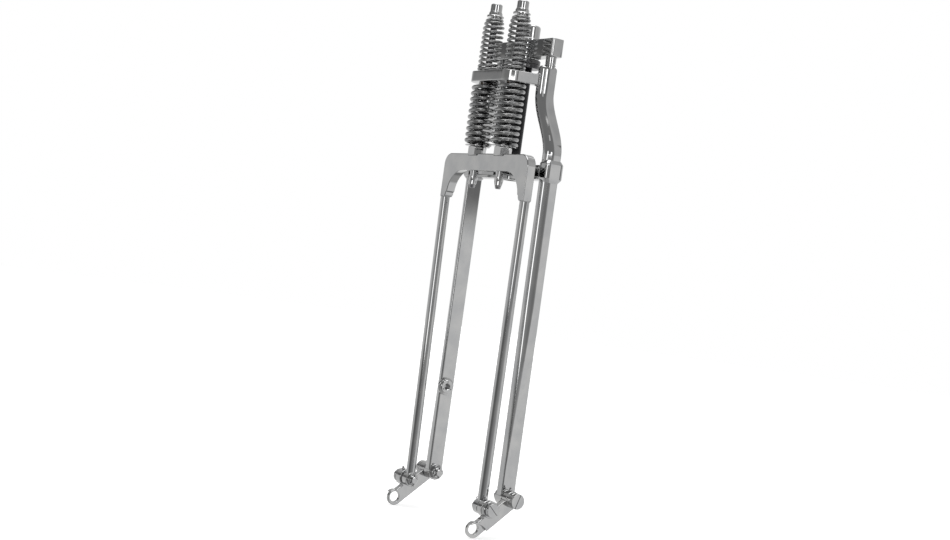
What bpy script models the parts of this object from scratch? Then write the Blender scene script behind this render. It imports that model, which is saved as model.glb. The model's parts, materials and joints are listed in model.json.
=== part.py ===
"""Leading-link springer fork, in metres, +Z up along the steering axis.

The origin is on the steering axis at the lower bearing seat of the crown.
The wheel side of the fork faces -Y, and +X is the rider's left.
"""
import math

import bpy
import bmesh
from mathutils import Matrix, Vector

# ---- driving dimensions -------------------------------------------------
GAP = 0.0003                # clearance kept between touching pieces
SIDES = {"left": 1, "right": -1}

REAR_PIVOT = (0.0, -0.5727)         # y, z of the pivots and the axle
FRONT_PIVOT = (-0.0465, -0.5895)
AXLE = (-0.0665, -0.6247)
AXLE_RADIUS = 0.009525
PIVOT_PLAY = 0.0026         # free radius around the stud in the opened pivot
PIVOT_SHIFT = 0.0007        # how far the bushing sits behind the stud at rest, along Y

LEG_X = 0.120               # rear and front leg eyes
LEG_TOP_X = 0.077           # rear legs at the top clamp
LEG_TOP_Y = -0.003
LEG_WIDTH = 0.016
LEG_BACK = 0.014            # rear face behind the centre line
LEG_FRONT_LOW = -0.0139     # tip of the oval nose at the eye
LEG_FRONT_HIGH = -0.0160    # and from the crown upwards
LEG_EDGE = 0.0025           # radius of the two rear edges
NOSE_SHORT = 0.003          # depth of the nose at the eye
NOSE_LONG = 0.018           # and from NOSE_HIGH upwards
NOSE_SHAPE = 0.85           # 1 is an ellipse, less is squarer
LEG_CORNER = 0.003          # edge between the flat inside and the nose
NOSE_LOW = -0.520
NOSE_HIGH = -0.245
NOSE_STEPS = 10
BEND_START = 0.013          # the rear legs draw inwards between these heights
BEND_END = 0.122
LEG_SHOULDER = 0.167
COLLAR_RADIUS = 0.0095
LEG_EYE_RADIUS = 0.0145

FRONT_Y = -0.0485           # middle plane of the yoke
TUBE_TOP_X = 0.1290         # the front tubes' centre line at the yoke
TUBE_TOP_Y = -0.0491
TUBE_LOW_X = 0.1215         # and at the height of the front pivot
TUBE_LOW_Y = -0.0457
TUBE_RADIUS = 0.0084
TUBE_EYE_RADIUS = 0.0128
FLAT_HEIGHT = 0.0145        # the tubes are flattened up to this far above their eyes
VENT_HEIGHT = -0.083        # small hole in each tube's inner side, below the yoke arm
VENT_RADIUS = 0.0012

CROWN_LOW = -0.030
CROWN_HIGH = -0.005
BOSS_LOW = -0.034
BOSS_HIGH = 0.004
BOSS_Y = 0.0012             # middle of the bosses in depth
STEM_RADIUS = 0.0127
STEM_TOP = 0.236
CAP_NUT_TOP = 0.2435
ADJUSTER_RADIUS = 0.0255
ADJUSTER_HEIGHT = 0.0155

YOKE_TOP = 0.007
YOKE_BOTTOM = -0.072
YOKE_HALF = 0.1335
YOKE_THICK = 0.0175
ARCH_TOP = -0.023
ARCH_RADIUS = 0.045
ARCH_HALF = 0.115
SEAT_FACE = 0.003           # spot face for the seat nuts on the yoke

BRIDGE_LOW = 0.132
BRIDGE_HIGH = 0.151
BRIDGE_HALF = 0.066
BRIDGE_FRONT = -0.0765
BRIDGE_BACK = -0.027
BRIDGE_CORNER = 0.0225
ARM_IN = 0.055              # inner and outer sides of the bridge's arms where they meet the legs
ARM_OUT = 0.079
ARM_WRAP = 0.005            # how far the arms reach round the noses of the legs

CLAMP_LOW = 0.184
CLAMP_HIGH = 0.215
CLAMP_BOSS = (0.183, 0.2155)        # the stem boss stands slightly proud of the bar
CLAMP_HALF = 0.093
CLAMP_DEPTH = 0.025

ROD_X = 0.042
ROD_Y = -0.0497
ROD_RADIUS = 0.006
ROD_LOW = -0.0536
ROD_HIGH = 0.268
ROD_CAP_TOP = 0.274
SEAT_NUT_TOP = 0.0195
SPRING_BASE = 0.0216        # upper face of the spring seats
SPRING_TOP = 0.250          # underside of the rebound collars

STUD_RADIUS = 0.00635
ROCKER_IN = 0.1315
ROCKER_OUT = 0.1445
HUB_OUT = 0.1525            # outer face of the rocker's two hubs
BAR_TOP = 0.008             # upper edge of the rocker's bar above the line from axle to rear pivot
AXLE_EYE_RADIUS = 0.0143    # round end at the axle
EYE_DROP = 0.0018           # its centre below the axle's
LOBE_RADIUS = 0.0150        # round the front pivot
END_RADIUS = 0.0145         # round the rear pivot
RECESS_RADIUS = 0.0296      # round cut that thins the rocker at the axle
RECESS_DEPTH = 0.007        # how far the rocker is thinned round the axle
REAR_HUB_RADIUS = 0.0135
FRONT_HUB_RADIUS = 0.0145
BUSHING_RADIUS = 0.0092
OPEN_BUSHING_RADIUS = 0.0112
HEAD_OUT = 0.1605           # outer face of the stud heads
HEAD_RADIUS = {"rear": 0.0130, "front": 0.0120}
SLOT_TURN = {"rear": 71, "front": -45}
EYE_HALF = {"rear": 0.010, "front": 0.007}      # half width of the leg eyes
NUT_FLATS = {"rear": 0.0215, "front": 0.0185}
NUT_HEIGHT = {"rear": 0.010, "front": 0.0075}
PIVOTS = {"rear": REAR_PIVOT, "front": FRONT_PIVOT}
NUT_SLOT_DEPTH = 0.0031
NUT_SLOT_HALF = 0.0016
SEAT_NUT_FLATS = 0.0275
STUD_END = 0.003            # how far the studs stand out of their nuts
SLOT_DEPTH = 0.0022
SLOT_HALF = 0.001
COTTER_RADIUS = 0.0012

BRAKE_BOSS = (-0.004, -0.415)
SPIGOT_LENGTH = 0.010       # how far the rear legs enter the top clamp
SCREW_RADIUS = 0.004
SCREW_HEAD_RADIUS = 0.007
SCREW_HEAD_HEIGHT = 0.0085

# Pieces that slide with the front legs, and pieces that swing with a rocker.
FRONT_PAIRS = ["front_leg", "spring_rod", "rod_lock_nut", "seat_nut", "spring_seat", "rebound_collar",
               "rod_cap_nut", "front_stud", "front_castle_nut", "front_cotter", "front_washer"]
ROCKER_PARTS = ["rocker", "rear_bushing", "front_bushing", "rear_grease_fitting", "front_grease_fitting"]


# ---- shared tools ---------------------------------------------------------
def clear_scene():
    for item in list(bpy.data.objects):
        bpy.data.objects.remove(item, do_unlink=True)


def make_material(name, colour, roughness, metallic=1.0):
    material = bpy.data.materials.new(name)
    material.use_nodes = True
    shader = material.node_tree.nodes["Principled BSDF"]
    shader.inputs["Base Color"].default_value = (*colour, 1.0)
    shader.inputs["Roughness"].default_value = roughness
    shader.inputs["Metallic"].default_value = metallic
    return material


def add_object(name, mesh_data, material=None, smooth=True):
    """Turn a bmesh into a named object, with its faces pointing out."""
    bmesh.ops.recalc_face_normals(mesh_data, faces=mesh_data.faces)
    mesh = bpy.data.meshes.new(name)
    mesh_data.to_mesh(mesh)
    mesh_data.free()
    if smooth:
        mesh.shade_smooth()
        mesh.set_sharp_from_angle(angle=math.radians(35))
    item = bpy.data.objects.new(name, mesh)
    bpy.context.scene.collection.objects.link(item)
    if material:
        mesh.materials.append(material)
    return item


def hide_tool(item):
    item.hide_render = True
    item.display_type = "WIRE"
    return item


def boolean(target, tool, operation):
    """Cut or join target with tool, which is hidden."""
    step = target.modifiers.new(operation.title(), "BOOLEAN")
    step.operation = operation
    step.solver = "EXACT"
    step.object = hide_tool(tool)
    tool.parent = target


def join(target, tool):
    boolean(target, tool, "UNION")


def cut(target, *tools):
    """Cut target with several tools that don't touch each other, in one step."""
    merged = bmesh.new()
    for tool in tools:
        merged.from_mesh(tool.data)
        bpy.data.objects.remove(tool, do_unlink=True)
    name = f"tool_cut_{target.name}_{len(target.modifiers)}"
    boolean(target, add_object(name, merged), "DIFFERENCE")


def axis_turn(axis):
    """Rotation that lays a piece made along +Z along another axis."""
    return Vector((0, 0, 1)).rotation_difference(Vector(axis)).to_matrix().to_4x4()


def lathe(name, profile, material=None, at=(0, 0, 0), axis=(0, 0, 1), steps=16):
    """Solid of revolution of (radius, height) points about its own axis."""
    shape = bmesh.new()
    rings = []
    for radius, height in profile:
        if radius < 1e-7:
            rings.append([shape.verts.new((0, 0, height))])
            continue
        turn = 2 * math.pi / steps
        rings.append([shape.verts.new((radius * math.cos(i * turn), radius * math.sin(i * turn), height))
                      for i in range(steps)])
    closed = profile[0][0] > 1e-7 and profile[-1][0] > 1e-7
    pairs = list(zip(rings, rings[1:])) + ([(rings[-1], rings[0])] if closed else [])
    for low, high in pairs:
        for i in range(steps):
            j = (i + 1) % steps
            corners = [low[i % len(low)], low[j % len(low)], high[j % len(high)], high[i % len(high)]]
            unique = list(dict.fromkeys(corners))
            if len(unique) > 2:
                shape.faces.new(unique)
    bmesh.ops.transform(shape, matrix=Matrix.Translation(at) @ axis_turn(axis), verts=shape.verts)
    return add_object(name, shape, material)


def rod(name, radius, start, end, material=None, steps=16):
    """Plain cylinder between two points."""
    line = Vector(end) - Vector(start)
    profile = [(0, 0), (radius, 0), (radius, line.length), (0, line.length)]
    return lathe(name, profile, material, at=start, axis=line.normalized(), steps=steps)


def arc(centre, radius, start, stop, count):
    """Points on an arc, with the angles in degrees."""
    turns = [math.radians(start + (stop - start) * i / count) for i in range(count + 1)]
    return [(centre[0] + radius * math.cos(a), centre[1] + radius * math.sin(a)) for a in turns]


def slab(name, outline, low, high, plane, material=None):
    """Extrude a 2-D outline: plane 'xy' along Z, 'xz' along Y or 'yz' along X."""
    place = {
        "xy": lambda a, b, h: (a, b, h),
        "xz": lambda a, b, h: (a, h, b),
        "yz": lambda a, b, h: (h, a, b),
    }[plane]
    shape = bmesh.new()
    base = shape.faces.new([shape.verts.new(place(a, b, low)) for a, b in outline])
    grown = bmesh.ops.extrude_face_region(shape, geom=[base])
    raised = [part for part in grown["geom"] if isinstance(part, bmesh.types.BMVert)]
    bmesh.ops.translate(shape, vec=place(0, 0, high - low), verts=raised)
    return add_object(name, shape, material)


def block(name, low, high, material=None):
    outline = [(low[0], low[1]), (high[0], low[1]), (high[0], high[1]), (low[0], high[1])]
    return slab(name, outline, low[2], high[2], "xy", material)


def rounded_box(half_a, half_b, radii, count=3):
    """Rectangle outline whose four corners (++, -+, --, +-) have their own radii."""
    points = []
    corners = [(1, 1, 0), (-1, 1, 90), (-1, -1, 180), (1, -1, 270)]
    for (sign_a, sign_b, start), radius in zip(corners, radii):
        centre = (sign_a * (half_a - radius), sign_b * (half_b - radius))
        points += arc(centre, radius, start, start + 90, count)
    return points


def bevel(item, width, segments=1):
    step = item.modifiers.new("Bevel", "BEVEL")
    step.width = width
    step.segments = segments
    step.limit_method = "ANGLE"
    step.angle_limit = math.radians(40)


def sweep(name, stations, material=None):
    """Loft through (point, side, depth, section) stations."""
    shape = bmesh.new()
    rings = []
    for point, side, depth, section in stations:
        rings.append([shape.verts.new(point + side * a + depth * b) for a, b in section])
    for low, high in zip(rings, rings[1:]):
        for i in range(len(low)):
            j = (i + 1) % len(low)
            shape.faces.new((low[i], low[j], high[j], high[i]))
    shape.faces.new(rings[0])
    shape.faces.new(rings[-1])
    return add_object(name, shape, material)


def coil(name, at, low, high, turns, wire, radius_of, steps, sides, closed, material):
    """Helical spring along Z whose end turns lie closed, coil on coil."""
    shape = bmesh.new()
    count = int(turns * steps)
    free = high - low - 2 * wire
    shut = closed * 2 * wire * 1.04
    rings = []
    for i in range(count + 1):
        turn = i / steps
        if turn < closed:
            rise = turn / closed * shut
        elif turn > turns - closed:
            rise = free - (turns - turn) / closed * shut
        else:
            rise = shut + (turn - closed) / (turns - 2 * closed) * (free - 2 * shut)
        angle = 2 * math.pi * turn
        radius = radius_of(turn / turns)
        out = Vector((math.cos(angle), math.sin(angle), 0))
        centre = Vector((at[0], at[1], low + wire + rise)) + out * radius
        rings.append([shape.verts.new(centre + out * wire * math.cos(a) + Vector((0, 0, wire * math.sin(a))))
                      for a in (2 * math.pi * (k + 0.5) / sides for k in range(sides))])
    for one, two in zip(rings, rings[1:]):
        for k in range(sides):
            m = (k + 1) % sides
            shape.faces.new((one[k], one[m], two[m], two[k]))
    shape.faces.new(rings[0])
    shape.faces.new(rings[-1])
    return add_object(name, shape, material)


def hexagon(flats, angle):
    """Radius of a hexagon at an angle in degrees, with a corner at 0."""
    return flats / 2 / math.cos(math.radians((angle % 60) - 30))


def ring_loft(name, levels, hole, material, at, axis=(0, 0, 1), turn=0.0, steps=24):
    """Bored body lofted through (height, radius at an angle in degrees) levels."""
    shape = bmesh.new()
    angles = [360 * i / steps for i in range(steps)]
    loops = []
    for height, radius_at in levels + [(levels[-1][0], lambda a: hole), (levels[0][0], lambda a: hole)]:
        loops.append([shape.verts.new((radius_at(a) * math.cos(math.radians(a + turn)),
                                       radius_at(a) * math.sin(math.radians(a + turn)), height))
                      for a in angles])
    for low, high in zip(loops, loops[1:] + loops[:1]):
        for i in range(steps):
            j = (i + 1) % steps
            shape.faces.new((low[i], low[j], high[j], high[i]))
    bmesh.ops.transform(shape, matrix=Matrix.Translation(at) @ axis_turn(axis), verts=shape.verts)
    return add_object(name, shape, material)


# ---- rear frame -------------------------------------------------------------
def share_of(value, low, high):
    """Where a value lies between two others, held to 0...1."""
    return min(1.0, max(0.0, (value - low) / (high - low)))


def leg_front(height):
    return LEG_FRONT_LOW + (LEG_FRONT_HIGH - LEG_FRONT_LOW) * share_of(height, REAR_PIVOT[1], 0.0)


def leg_section(sign, height, grow=0.0):
    """Bar, flat inside, whose oval nose grows longer towards the crown; a is outward X, b is Y."""
    nose = NOSE_SHORT + (NOSE_LONG - NOSE_SHORT) * share_of(height, NOSE_LOW, NOSE_HIGH)
    half, back, front = LEG_WIDTH / 2 + grow, LEG_BACK + grow, leg_front(height)
    corner = LEG_CORNER + grow
    points = arc((half - LEG_EDGE, back - LEG_EDGE), LEG_EDGE, 0, 90, 3)
    points += arc((LEG_EDGE - half, back - LEG_EDGE), LEG_EDGE, 90, 180, 3)
    points += arc((corner - half, front - grow + corner), corner, 180, 270, 3)
    for i in range(1, NOSE_STEPS + 1):
        turn = math.radians(90 * i / NOSE_STEPS)
        across = (2 * half - corner) * math.sin(turn) ** NOSE_SHAPE
        deep = (nose + grow) * abs(math.cos(turn)) ** NOSE_SHAPE
        points.append((corner - half + across, front + nose - deep))
    return [(a * sign, b) for a, b in points]


def leg_centre(height):
    """Centre of a left rear leg at one height: straight, then drawn inwards."""
    part = share_of(height, BEND_START, BEND_END)
    ease = part * part * (3 - 2 * part)
    return Vector((LEG_X + (LEG_TOP_X - LEG_X) * ease, LEG_TOP_Y * ease, height))


def leg_stations(sign, heights, grow=0.0):
    stations = []
    for height in heights:
        here = leg_centre(height)
        tangent = (leg_centre(height + 0.0005) - leg_centre(height - 0.0005)).normalized()
        side = Vector((tangent.z, 0, -tangent.x)).normalized()
        point = Vector((here.x * sign, here.y, here.z))
        stations.append((point, Vector((side.x, 0, side.z * sign)), Vector((0, 1, 0)),
                         leg_section(sign, height, grow)))
    return stations


def rear_leg(side, sign, material):
    bends = [BEND_START + (BEND_END - BEND_START) * i / 8 for i in range(9)]
    heights = [REAR_PIVOT[1], NOSE_LOW, NOSE_HIGH, 0] + bends + [LEG_SHOULDER]
    leg = sweep(f"rear_leg_{side}", leg_stations(sign, heights), material)
    eye_in = ((LEG_X - EYE_HALF["rear"]) * sign, *REAR_PIVOT)
    eye_out = ((LEG_X + EYE_HALF["rear"]) * sign, *REAR_PIVOT)
    join(leg, rod(f"tool_eye_{side}", LEG_EYE_RADIUS, eye_in, eye_out, steps=24))
    top = LEG_TOP_X * sign
    spigot_top = CLAMP_LOW + SPIGOT_LENGTH
    join(leg, rod(f"tool_collar_{side}", COLLAR_RADIUS, (top, 0, LEG_SHOULDER - 0.001), (top, 0, spigot_top)))
    reach = 0.02 * sign
    screw_hole = rod("screw", SCREW_RADIUS + GAP, (top, 0, LEG_SHOULDER - 0.002), (top, 0, spigot_top + 0.01),
                     steps=12)
    stud_hole = rod("stud", STUD_RADIUS + GAP, (eye_in[0] - reach, *REAR_PIVOT),
                    (eye_out[0] + reach, *REAR_PIVOT))
    cut(leg, screw_hole, stud_hole)
    return leg


def crown_boss(side, sign):
    """Block brazed round a rear leg, with a rounded front and chamfered ends."""
    outline = rounded_box(0.0135, 0.0188, (0.008, 0.008, 0.009, 0.009), 2)
    centre_x = 0.1205 * sign
    shape = bmesh.new()
    levels = [(BOSS_LOW, 0.72), (BOSS_LOW + 0.007, 1.0), (BOSS_HIGH - 0.006, 1.0), (BOSS_HIGH, 0.80)]
    rings = []
    for height, scale in levels:
        rings.append([shape.verts.new((centre_x + a * scale, BOSS_Y + b * scale, height))
                      for a, b in outline])
    for low, high in zip(rings, rings[1:]):
        for i in range(len(outline)):
            j = (i + 1) % len(outline)
            shape.faces.new((low[i], low[j], high[j], high[i]))
    shape.faces.new(rings[0])
    shape.faces.new(rings[-1])
    return add_object(f"tool_boss_{side}", shape)


def lower_crown(material):
    """Forged crown: a pocketed bar between the leg bosses, with the stem boss on top."""
    crown = block("lower_crown", (-0.112, -0.014, CROWN_LOW), (0.112, 0.014, CROWN_HIGH), material)
    join(crown, rod("tool_stem_boss", 0.025, (0, 0, CROWN_LOW - 0.002), (0, 0, 0), steps=24))
    for side, sign in SIDES.items():
        join(crown, crown_boss(side, sign))
    tools = [rod("stem", STEM_RADIUS + GAP, (0, 0, -0.05), (0, 0, 0.01), steps=24)]
    for sign in SIDES.values():
        ends = sorted((0.033 * sign, 0.103 * sign))
        for y_low, y_high in ((-0.020, -0.008), (0.008, 0.020)):
            tools.append(block("pocket", (ends[0], y_low, CROWN_LOW + 0.0045),
                               (ends[1], y_high, CROWN_HIGH - 0.0035)))
        heights = [BOSS_LOW - 0.01, BEND_START - 0.001]
        tools.append(sweep("socket", leg_stations(sign, heights, grow=GAP)))
    cut(crown, *tools)
    return crown


def steering_stem(material):
    profile = [(0.009, CROWN_LOW), (STEM_RADIUS, CROWN_LOW), (STEM_RADIUS, STEM_TOP - 0.001),
               (STEM_RADIUS - 0.001, STEM_TOP), (0.009, STEM_TOP)]
    return lathe("steering_stem", profile, material, steps=24)


def stem_nuts(material):
    """Bearing adjuster below the top clamp, and the cap nut above it."""
    hole = STEM_RADIUS + GAP
    top = CLAMP_BOSS[0] - GAP
    base = top - ADJUSTER_HEIGHT
    adjuster = [(hole, base), (ADJUSTER_RADIUS - 0.001, base), (ADJUSTER_RADIUS, base + 0.001),
                (ADJUSTER_RADIUS, top - 0.001), (ADJUSTER_RADIUS - 0.001, top), (hole, top)]
    lathe("bearing_adjuster", adjuster, material, steps=24)
    base = CLAMP_BOSS[1] + GAP
    return lathe("stem_cap_nut", [(hole, base), (0.019, base), (0.019, CAP_NUT_TOP - 0.0045),
                                  (0.0165, CAP_NUT_TOP), (0, CAP_NUT_TOP), (0, STEM_TOP + 0.001),
                                  (hole, STEM_TOP + 0.001)], material, steps=24)


def top_clamp(material):
    """Thick bar that carries the stem and both rear legs, with flush screws from above."""
    half = CLAMP_DEPTH / 2
    edge = rounded_box(CLAMP_HALF, half, (0.004, 0.004, 0.004, 0.004), 2)
    clamp = slab("top_clamp", edge, CLAMP_LOW, CLAMP_HIGH, "xy", material)
    join(clamp, rod("tool_clamp_boss", 0.022, (0, 0, CLAMP_BOSS[0]), (0, 0, CLAMP_BOSS[1]), steps=24))
    tools = [rod("bore", STEM_RADIUS + GAP, (0, 0, 0.17), (0, 0, 0.23), steps=24)]
    seat = CLAMP_HIGH - 0.009
    spigot_end = CLAMP_LOW + SPIGOT_LENGTH + GAP
    for side, sign in SIDES.items():
        at = (LEG_TOP_X * sign, 0, 0)
        stepped = [(0, 0.17), (COLLAR_RADIUS + GAP, 0.17), (COLLAR_RADIUS + GAP, spigot_end),
                   (SCREW_RADIUS + GAP, spigot_end), (SCREW_RADIUS + GAP, seat),
                   (SCREW_HEAD_RADIUS + GAP, seat), (SCREW_HEAD_RADIUS + GAP, 0.23), (0, 0.23)]
        tools.append(lathe("stepped", stepped, at=at))
        base = seat + GAP
        top = base + SCREW_HEAD_HEIGHT
        profile = [(0, LEG_SHOULDER), (SCREW_RADIUS, LEG_SHOULDER), (SCREW_RADIUS, base),
                   (SCREW_HEAD_RADIUS, base), (SCREW_HEAD_RADIUS, top), (0.0035, top),
                   (0.0035, top - 0.004), (0, top - 0.004)]
        lathe(f"clamp_screw_{side}", profile, material, at=at, steps=12)
    cut(clamp, *tools)
    return clamp


def spring_bridge(material):
    """Plate ahead of the neck, whose two arms reach back to the rear legs."""
    arm_end = LEG_TOP_Y + leg_front(BRIDGE_LOW) + ARM_WRAP
    left = arc((BRIDGE_HALF - BRIDGE_CORNER, BRIDGE_FRONT + BRIDGE_CORNER), BRIDGE_CORNER, -90, 0, 5)
    left += [(ARM_OUT, arm_end), (ARM_IN + 0.008, arm_end)]
    left += [(ARM_IN + 0.002, arm_end - 0.008), (ARM_IN - 0.002, BRIDGE_BACK)]
    right = [(-x, y) for x, y in reversed(left)]
    bridge = slab("spring_bridge", left + right, BRIDGE_LOW, BRIDGE_HIGH, "xy", material)
    bevel(bridge, 0.0015)
    tools = []
    for side, sign in SIDES.items():
        place = (ROD_X * sign, ROD_Y)
        tools.append(rod("guide", 0.010, (*place, 0.12), (*place, 0.16)))
        sleeve = [(ROD_RADIUS + 0.0004, BRIDGE_LOW + GAP), (0.0097, BRIDGE_LOW + GAP),
                  (0.0097, BRIDGE_HIGH - GAP), (ROD_RADIUS + 0.0004, BRIDGE_HIGH - GAP)]
        lathe(f"guide_bushing_{side}", sleeve, BRONZE, at=(*place, 0))
        tools.append(sweep("seat", leg_stations(sign, [BRIDGE_LOW - 0.01, BRIDGE_HIGH + 0.01], GAP)))
    cut(bridge, *tools)
    return bridge


def brake_anchor(material):
    """Stepped boss on the inner face of the right leg, where a brake stay bolts on."""
    face = -LEG_X + LEG_WIDTH / 2 + GAP
    profile = [(0.005, 0), (0.016, 0), (0.016, 0.0035), (0.0125, 0.0045), (0.0125, 0.0075), (0.005, 0.0075)]
    return lathe("brake_anchor_boss", profile, material, at=(face, *BRAKE_BOSS), axis=(1, 0, 0), steps=20)


# ---- front assembly -----------------------------------------------------------
def tube_line(height):
    """Point on the centre line of the left front tube."""
    part = (height - FRONT_PIVOT[1]) / (YOKE_BOTTOM - FRONT_PIVOT[1])
    return Vector((TUBE_LOW_X + (TUBE_TOP_X - TUBE_LOW_X) * part,
                   TUBE_LOW_Y + (TUBE_TOP_Y - TUBE_LOW_Y) * part, height))


def on_side(point, sign):
    return (point[0] * sign, point[1], point[2])


def yoke(material):
    """Inverted U plate with the arms' spigots that the front tubes are brazed to."""
    corner = 0.020
    half = [(YOKE_HALF, YOKE_BOTTOM)]
    half += arc((YOKE_HALF - corner, YOKE_TOP - corner), corner, 0, 90, 4)
    inner = arc((ARCH_HALF - ARCH_RADIUS, ARCH_TOP - ARCH_RADIUS), ARCH_RADIUS, 90, 0, 6)
    inner += [(TUBE_TOP_X - TUBE_RADIUS, YOKE_BOTTOM)]
    outline = half + [(-x, z) for x, z in reversed(half)]
    outline += [(-x, z) for x, z in reversed(inner)] + inner
    low = FRONT_Y - YOKE_THICK / 2
    plate = slab("yoke", outline, low, low + YOKE_THICK, "xz", material)
    bevel(plate, 0.002)
    tools = []
    for side, sign in SIDES.items():
        start, end = tube_line(YOKE_BOTTOM + 0.006), tube_line(YOKE_BOTTOM - 0.025)
        join(plate, rod(f"tool_spigot_{side}", 0.006, on_side(start, sign), on_side(end, sign), steps=12))
        stepped = [(0, -0.05), (ROD_RADIUS + GAP, -0.05), (ROD_RADIUS + GAP, SEAT_FACE), (0.0172, SEAT_FACE),
                   (0.0172, 0.05), (0, 0.05)]
        tools.append(lathe("seat", stepped, at=(ROD_X * sign, ROD_Y, 0), steps=24))
    cut(plate, *tools)
    return plate


def front_leg(side, sign, material):
    top = tube_line(YOKE_BOTTOM - 0.0004)
    leg = rod(f"front_leg_{side}", TUBE_RADIUS, on_side(tube_line(FRONT_PIVOT[1]), sign), on_side(top, sign),
              material, steps=18)
    flats = []
    for near, far in ((LEG_X - 0.03, LEG_X - EYE_HALF["front"]), (LEG_X + EYE_HALF["front"], LEG_X + 0.03)):
        ends = sorted((near * sign, far * sign))
        flats.append(block("flat", (ends[0], FRONT_PIVOT[0] - 0.02, FRONT_PIVOT[1] - 0.02),
                           (ends[1], FRONT_PIVOT[0] + 0.02, FRONT_PIVOT[1] + FLAT_HEIGHT)))
    cut(leg, *flats)
    reach = 0.02 * sign
    eye_in = ((LEG_X - EYE_HALF["front"]) * sign, *FRONT_PIVOT)
    eye_out = ((LEG_X + EYE_HALF["front"]) * sign, *FRONT_PIVOT)
    join(leg, rod(f"tool_tube_eye_{side}", TUBE_EYE_RADIUS, eye_in, eye_out, steps=24))
    stud_hole = rod("stud", STUD_RADIUS + GAP, (eye_in[0] - reach, *FRONT_PIVOT),
                    (eye_out[0] + reach, *FRONT_PIVOT))
    bore = rod("bore", 0.0063, on_side(tube_line(YOKE_BOTTOM - 0.032), sign),
               on_side(tube_line(YOKE_BOTTOM + 0.01), sign), steps=12)
    vent_in, vent_out = tube_line(VENT_HEIGHT), tube_line(VENT_HEIGHT)
    vent_in.x -= TUBE_RADIUS - 0.0015
    vent_out.x -= TUBE_RADIUS + 0.002
    vent = rod("vent", VENT_RADIUS, on_side(vent_in, sign), on_side(vent_out, sign), steps=8)
    cut(leg, stud_hole, bore, vent)
    return leg


def spring_rod(side, sign, steel, chrome):
    """Rod through yoke and bridge, with every nut and collar that it carries."""
    at = (ROD_X * sign, ROD_Y, 0)
    hole = ROD_RADIUS + GAP
    lathe(f"spring_rod_{side}", [(0, ROD_LOW), (0.0045, ROD_LOW), (ROD_RADIUS, ROD_LOW + 0.006),
                                 (ROD_RADIUS, ROD_HIGH), (0, ROD_HIGH)], steel, at=at)
    under = ARCH_TOP - GAP
    lathe(f"rod_lock_nut_{side}", [(hole, under), (hole, under - 0.0235), (0.0064, under - 0.0240),
                                   (0.0080, under - 0.0160), (0.0080, under - 0.0100),
                                   (0.0068, under - 0.0095), (0.0068, under)], chrome, at=at, steps=12)
    flats = SEAT_NUT_FLATS
    low, high = SEAT_FACE + GAP, SEAT_NUT_TOP
    levels = [(low, lambda a: min(hexagon(flats, a), 0.0148)), (low + 0.0012, lambda a: hexagon(flats, a)),
              (high - 0.0012, lambda a: hexagon(flats, a)), (high, lambda a: min(hexagon(flats, a), 0.0148))]
    ring_loft(f"seat_nut_{side}", levels, hole, chrome, at, turn=12)
    seat = SEAT_NUT_TOP + GAP
    lathe(f"spring_seat_{side}", [(hole, seat), (0.0215, seat), (0.0220, seat + 0.0005),
                                  (0.0220, SPRING_BASE),
                                  (hole, SPRING_BASE)], chrome, at=at, steps=20)
    lathe(f"rebound_collar_{side}", [(hole, SPRING_TOP - 0.007), (0.0085, SPRING_TOP - 0.007),
                                     (0.0085, SPRING_TOP), (0.0150, SPRING_TOP), (0.0152, SPRING_TOP + 0.003),
                                     (0.0125, SPRING_TOP + 0.008), (hole, SPRING_TOP + 0.008)],
          chrome, at=at)
    base = SPRING_TOP + 0.008 + GAP
    lathe(f"rod_cap_nut_{side}", [(hole, base), (0.0108, base), (0.0110, base + 0.001),
                                  (0.0103, ROD_CAP_TOP - 0.002),
                                  (0.0088, ROD_CAP_TOP), (0, ROD_CAP_TOP), (0, ROD_HIGH + 0.001),
                                  (hole, ROD_HIGH + 0.001)], chrome, at=at, steps=16)


def springs(side, sign, material):
    at = (ROD_X * sign, ROD_Y)
    low, high = SPRING_BASE + GAP, BRIDGE_LOW - GAP
    coil(f"main_spring_{side}", at, low, high, 10.5, 0.0035, lambda t: 0.02125, 8, 5, 0.5, material)
    coil(f"inner_spring_{side}", at, low, high, 13.5, 0.0019, lambda t: 0.0112, 6, 3, 0.75, material)

    def taper(part):
        start = 0.80
        return 0.0170 - 0.0045 * max(0.0, (part - start) / (1 - start))

    coil(f"rebound_spring_{side}", at, BRIDGE_HIGH + GAP, SPRING_TOP - GAP, 12.5, 0.0025, taper, 8, 4, 1.6,
         material)


# ---- rockers and pivots ---------------------------------------------------------
def mirror_slab(name, outline, low, high, sign, material=None):
    ends = sorted((low * sign, high * sign))
    return slab(name, outline, ends[0], ends[1], "yz", material)


def rocker_outline():
    """Bar with a round end at the axle, a lobe round the front pivot and a round end at the rear one."""
    axle, rear, front = Vector(AXLE), Vector(REAR_PIVOT), Vector(FRONT_PIVOT)
    along = (rear - axle).normalized()
    up = Vector((-along.y, along.x))
    heading = math.degrees(math.atan2(along.y, along.x))
    outline = []
    for centre, radius in ((axle - up * EYE_DROP, AXLE_EYE_RADIUS), (front, LOBE_RADIUS), (rear, END_RADIUS)):
        rise = math.degrees(math.asin((BAR_TOP - (centre - axle).dot(up)) / radius))
        start = 270 if centre.x < front.x else 180 - rise
        stop = -90 if centre is rear else rise
        outline += arc(centre, radius, heading + start, heading + stop, 10)
    return outline


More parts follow.
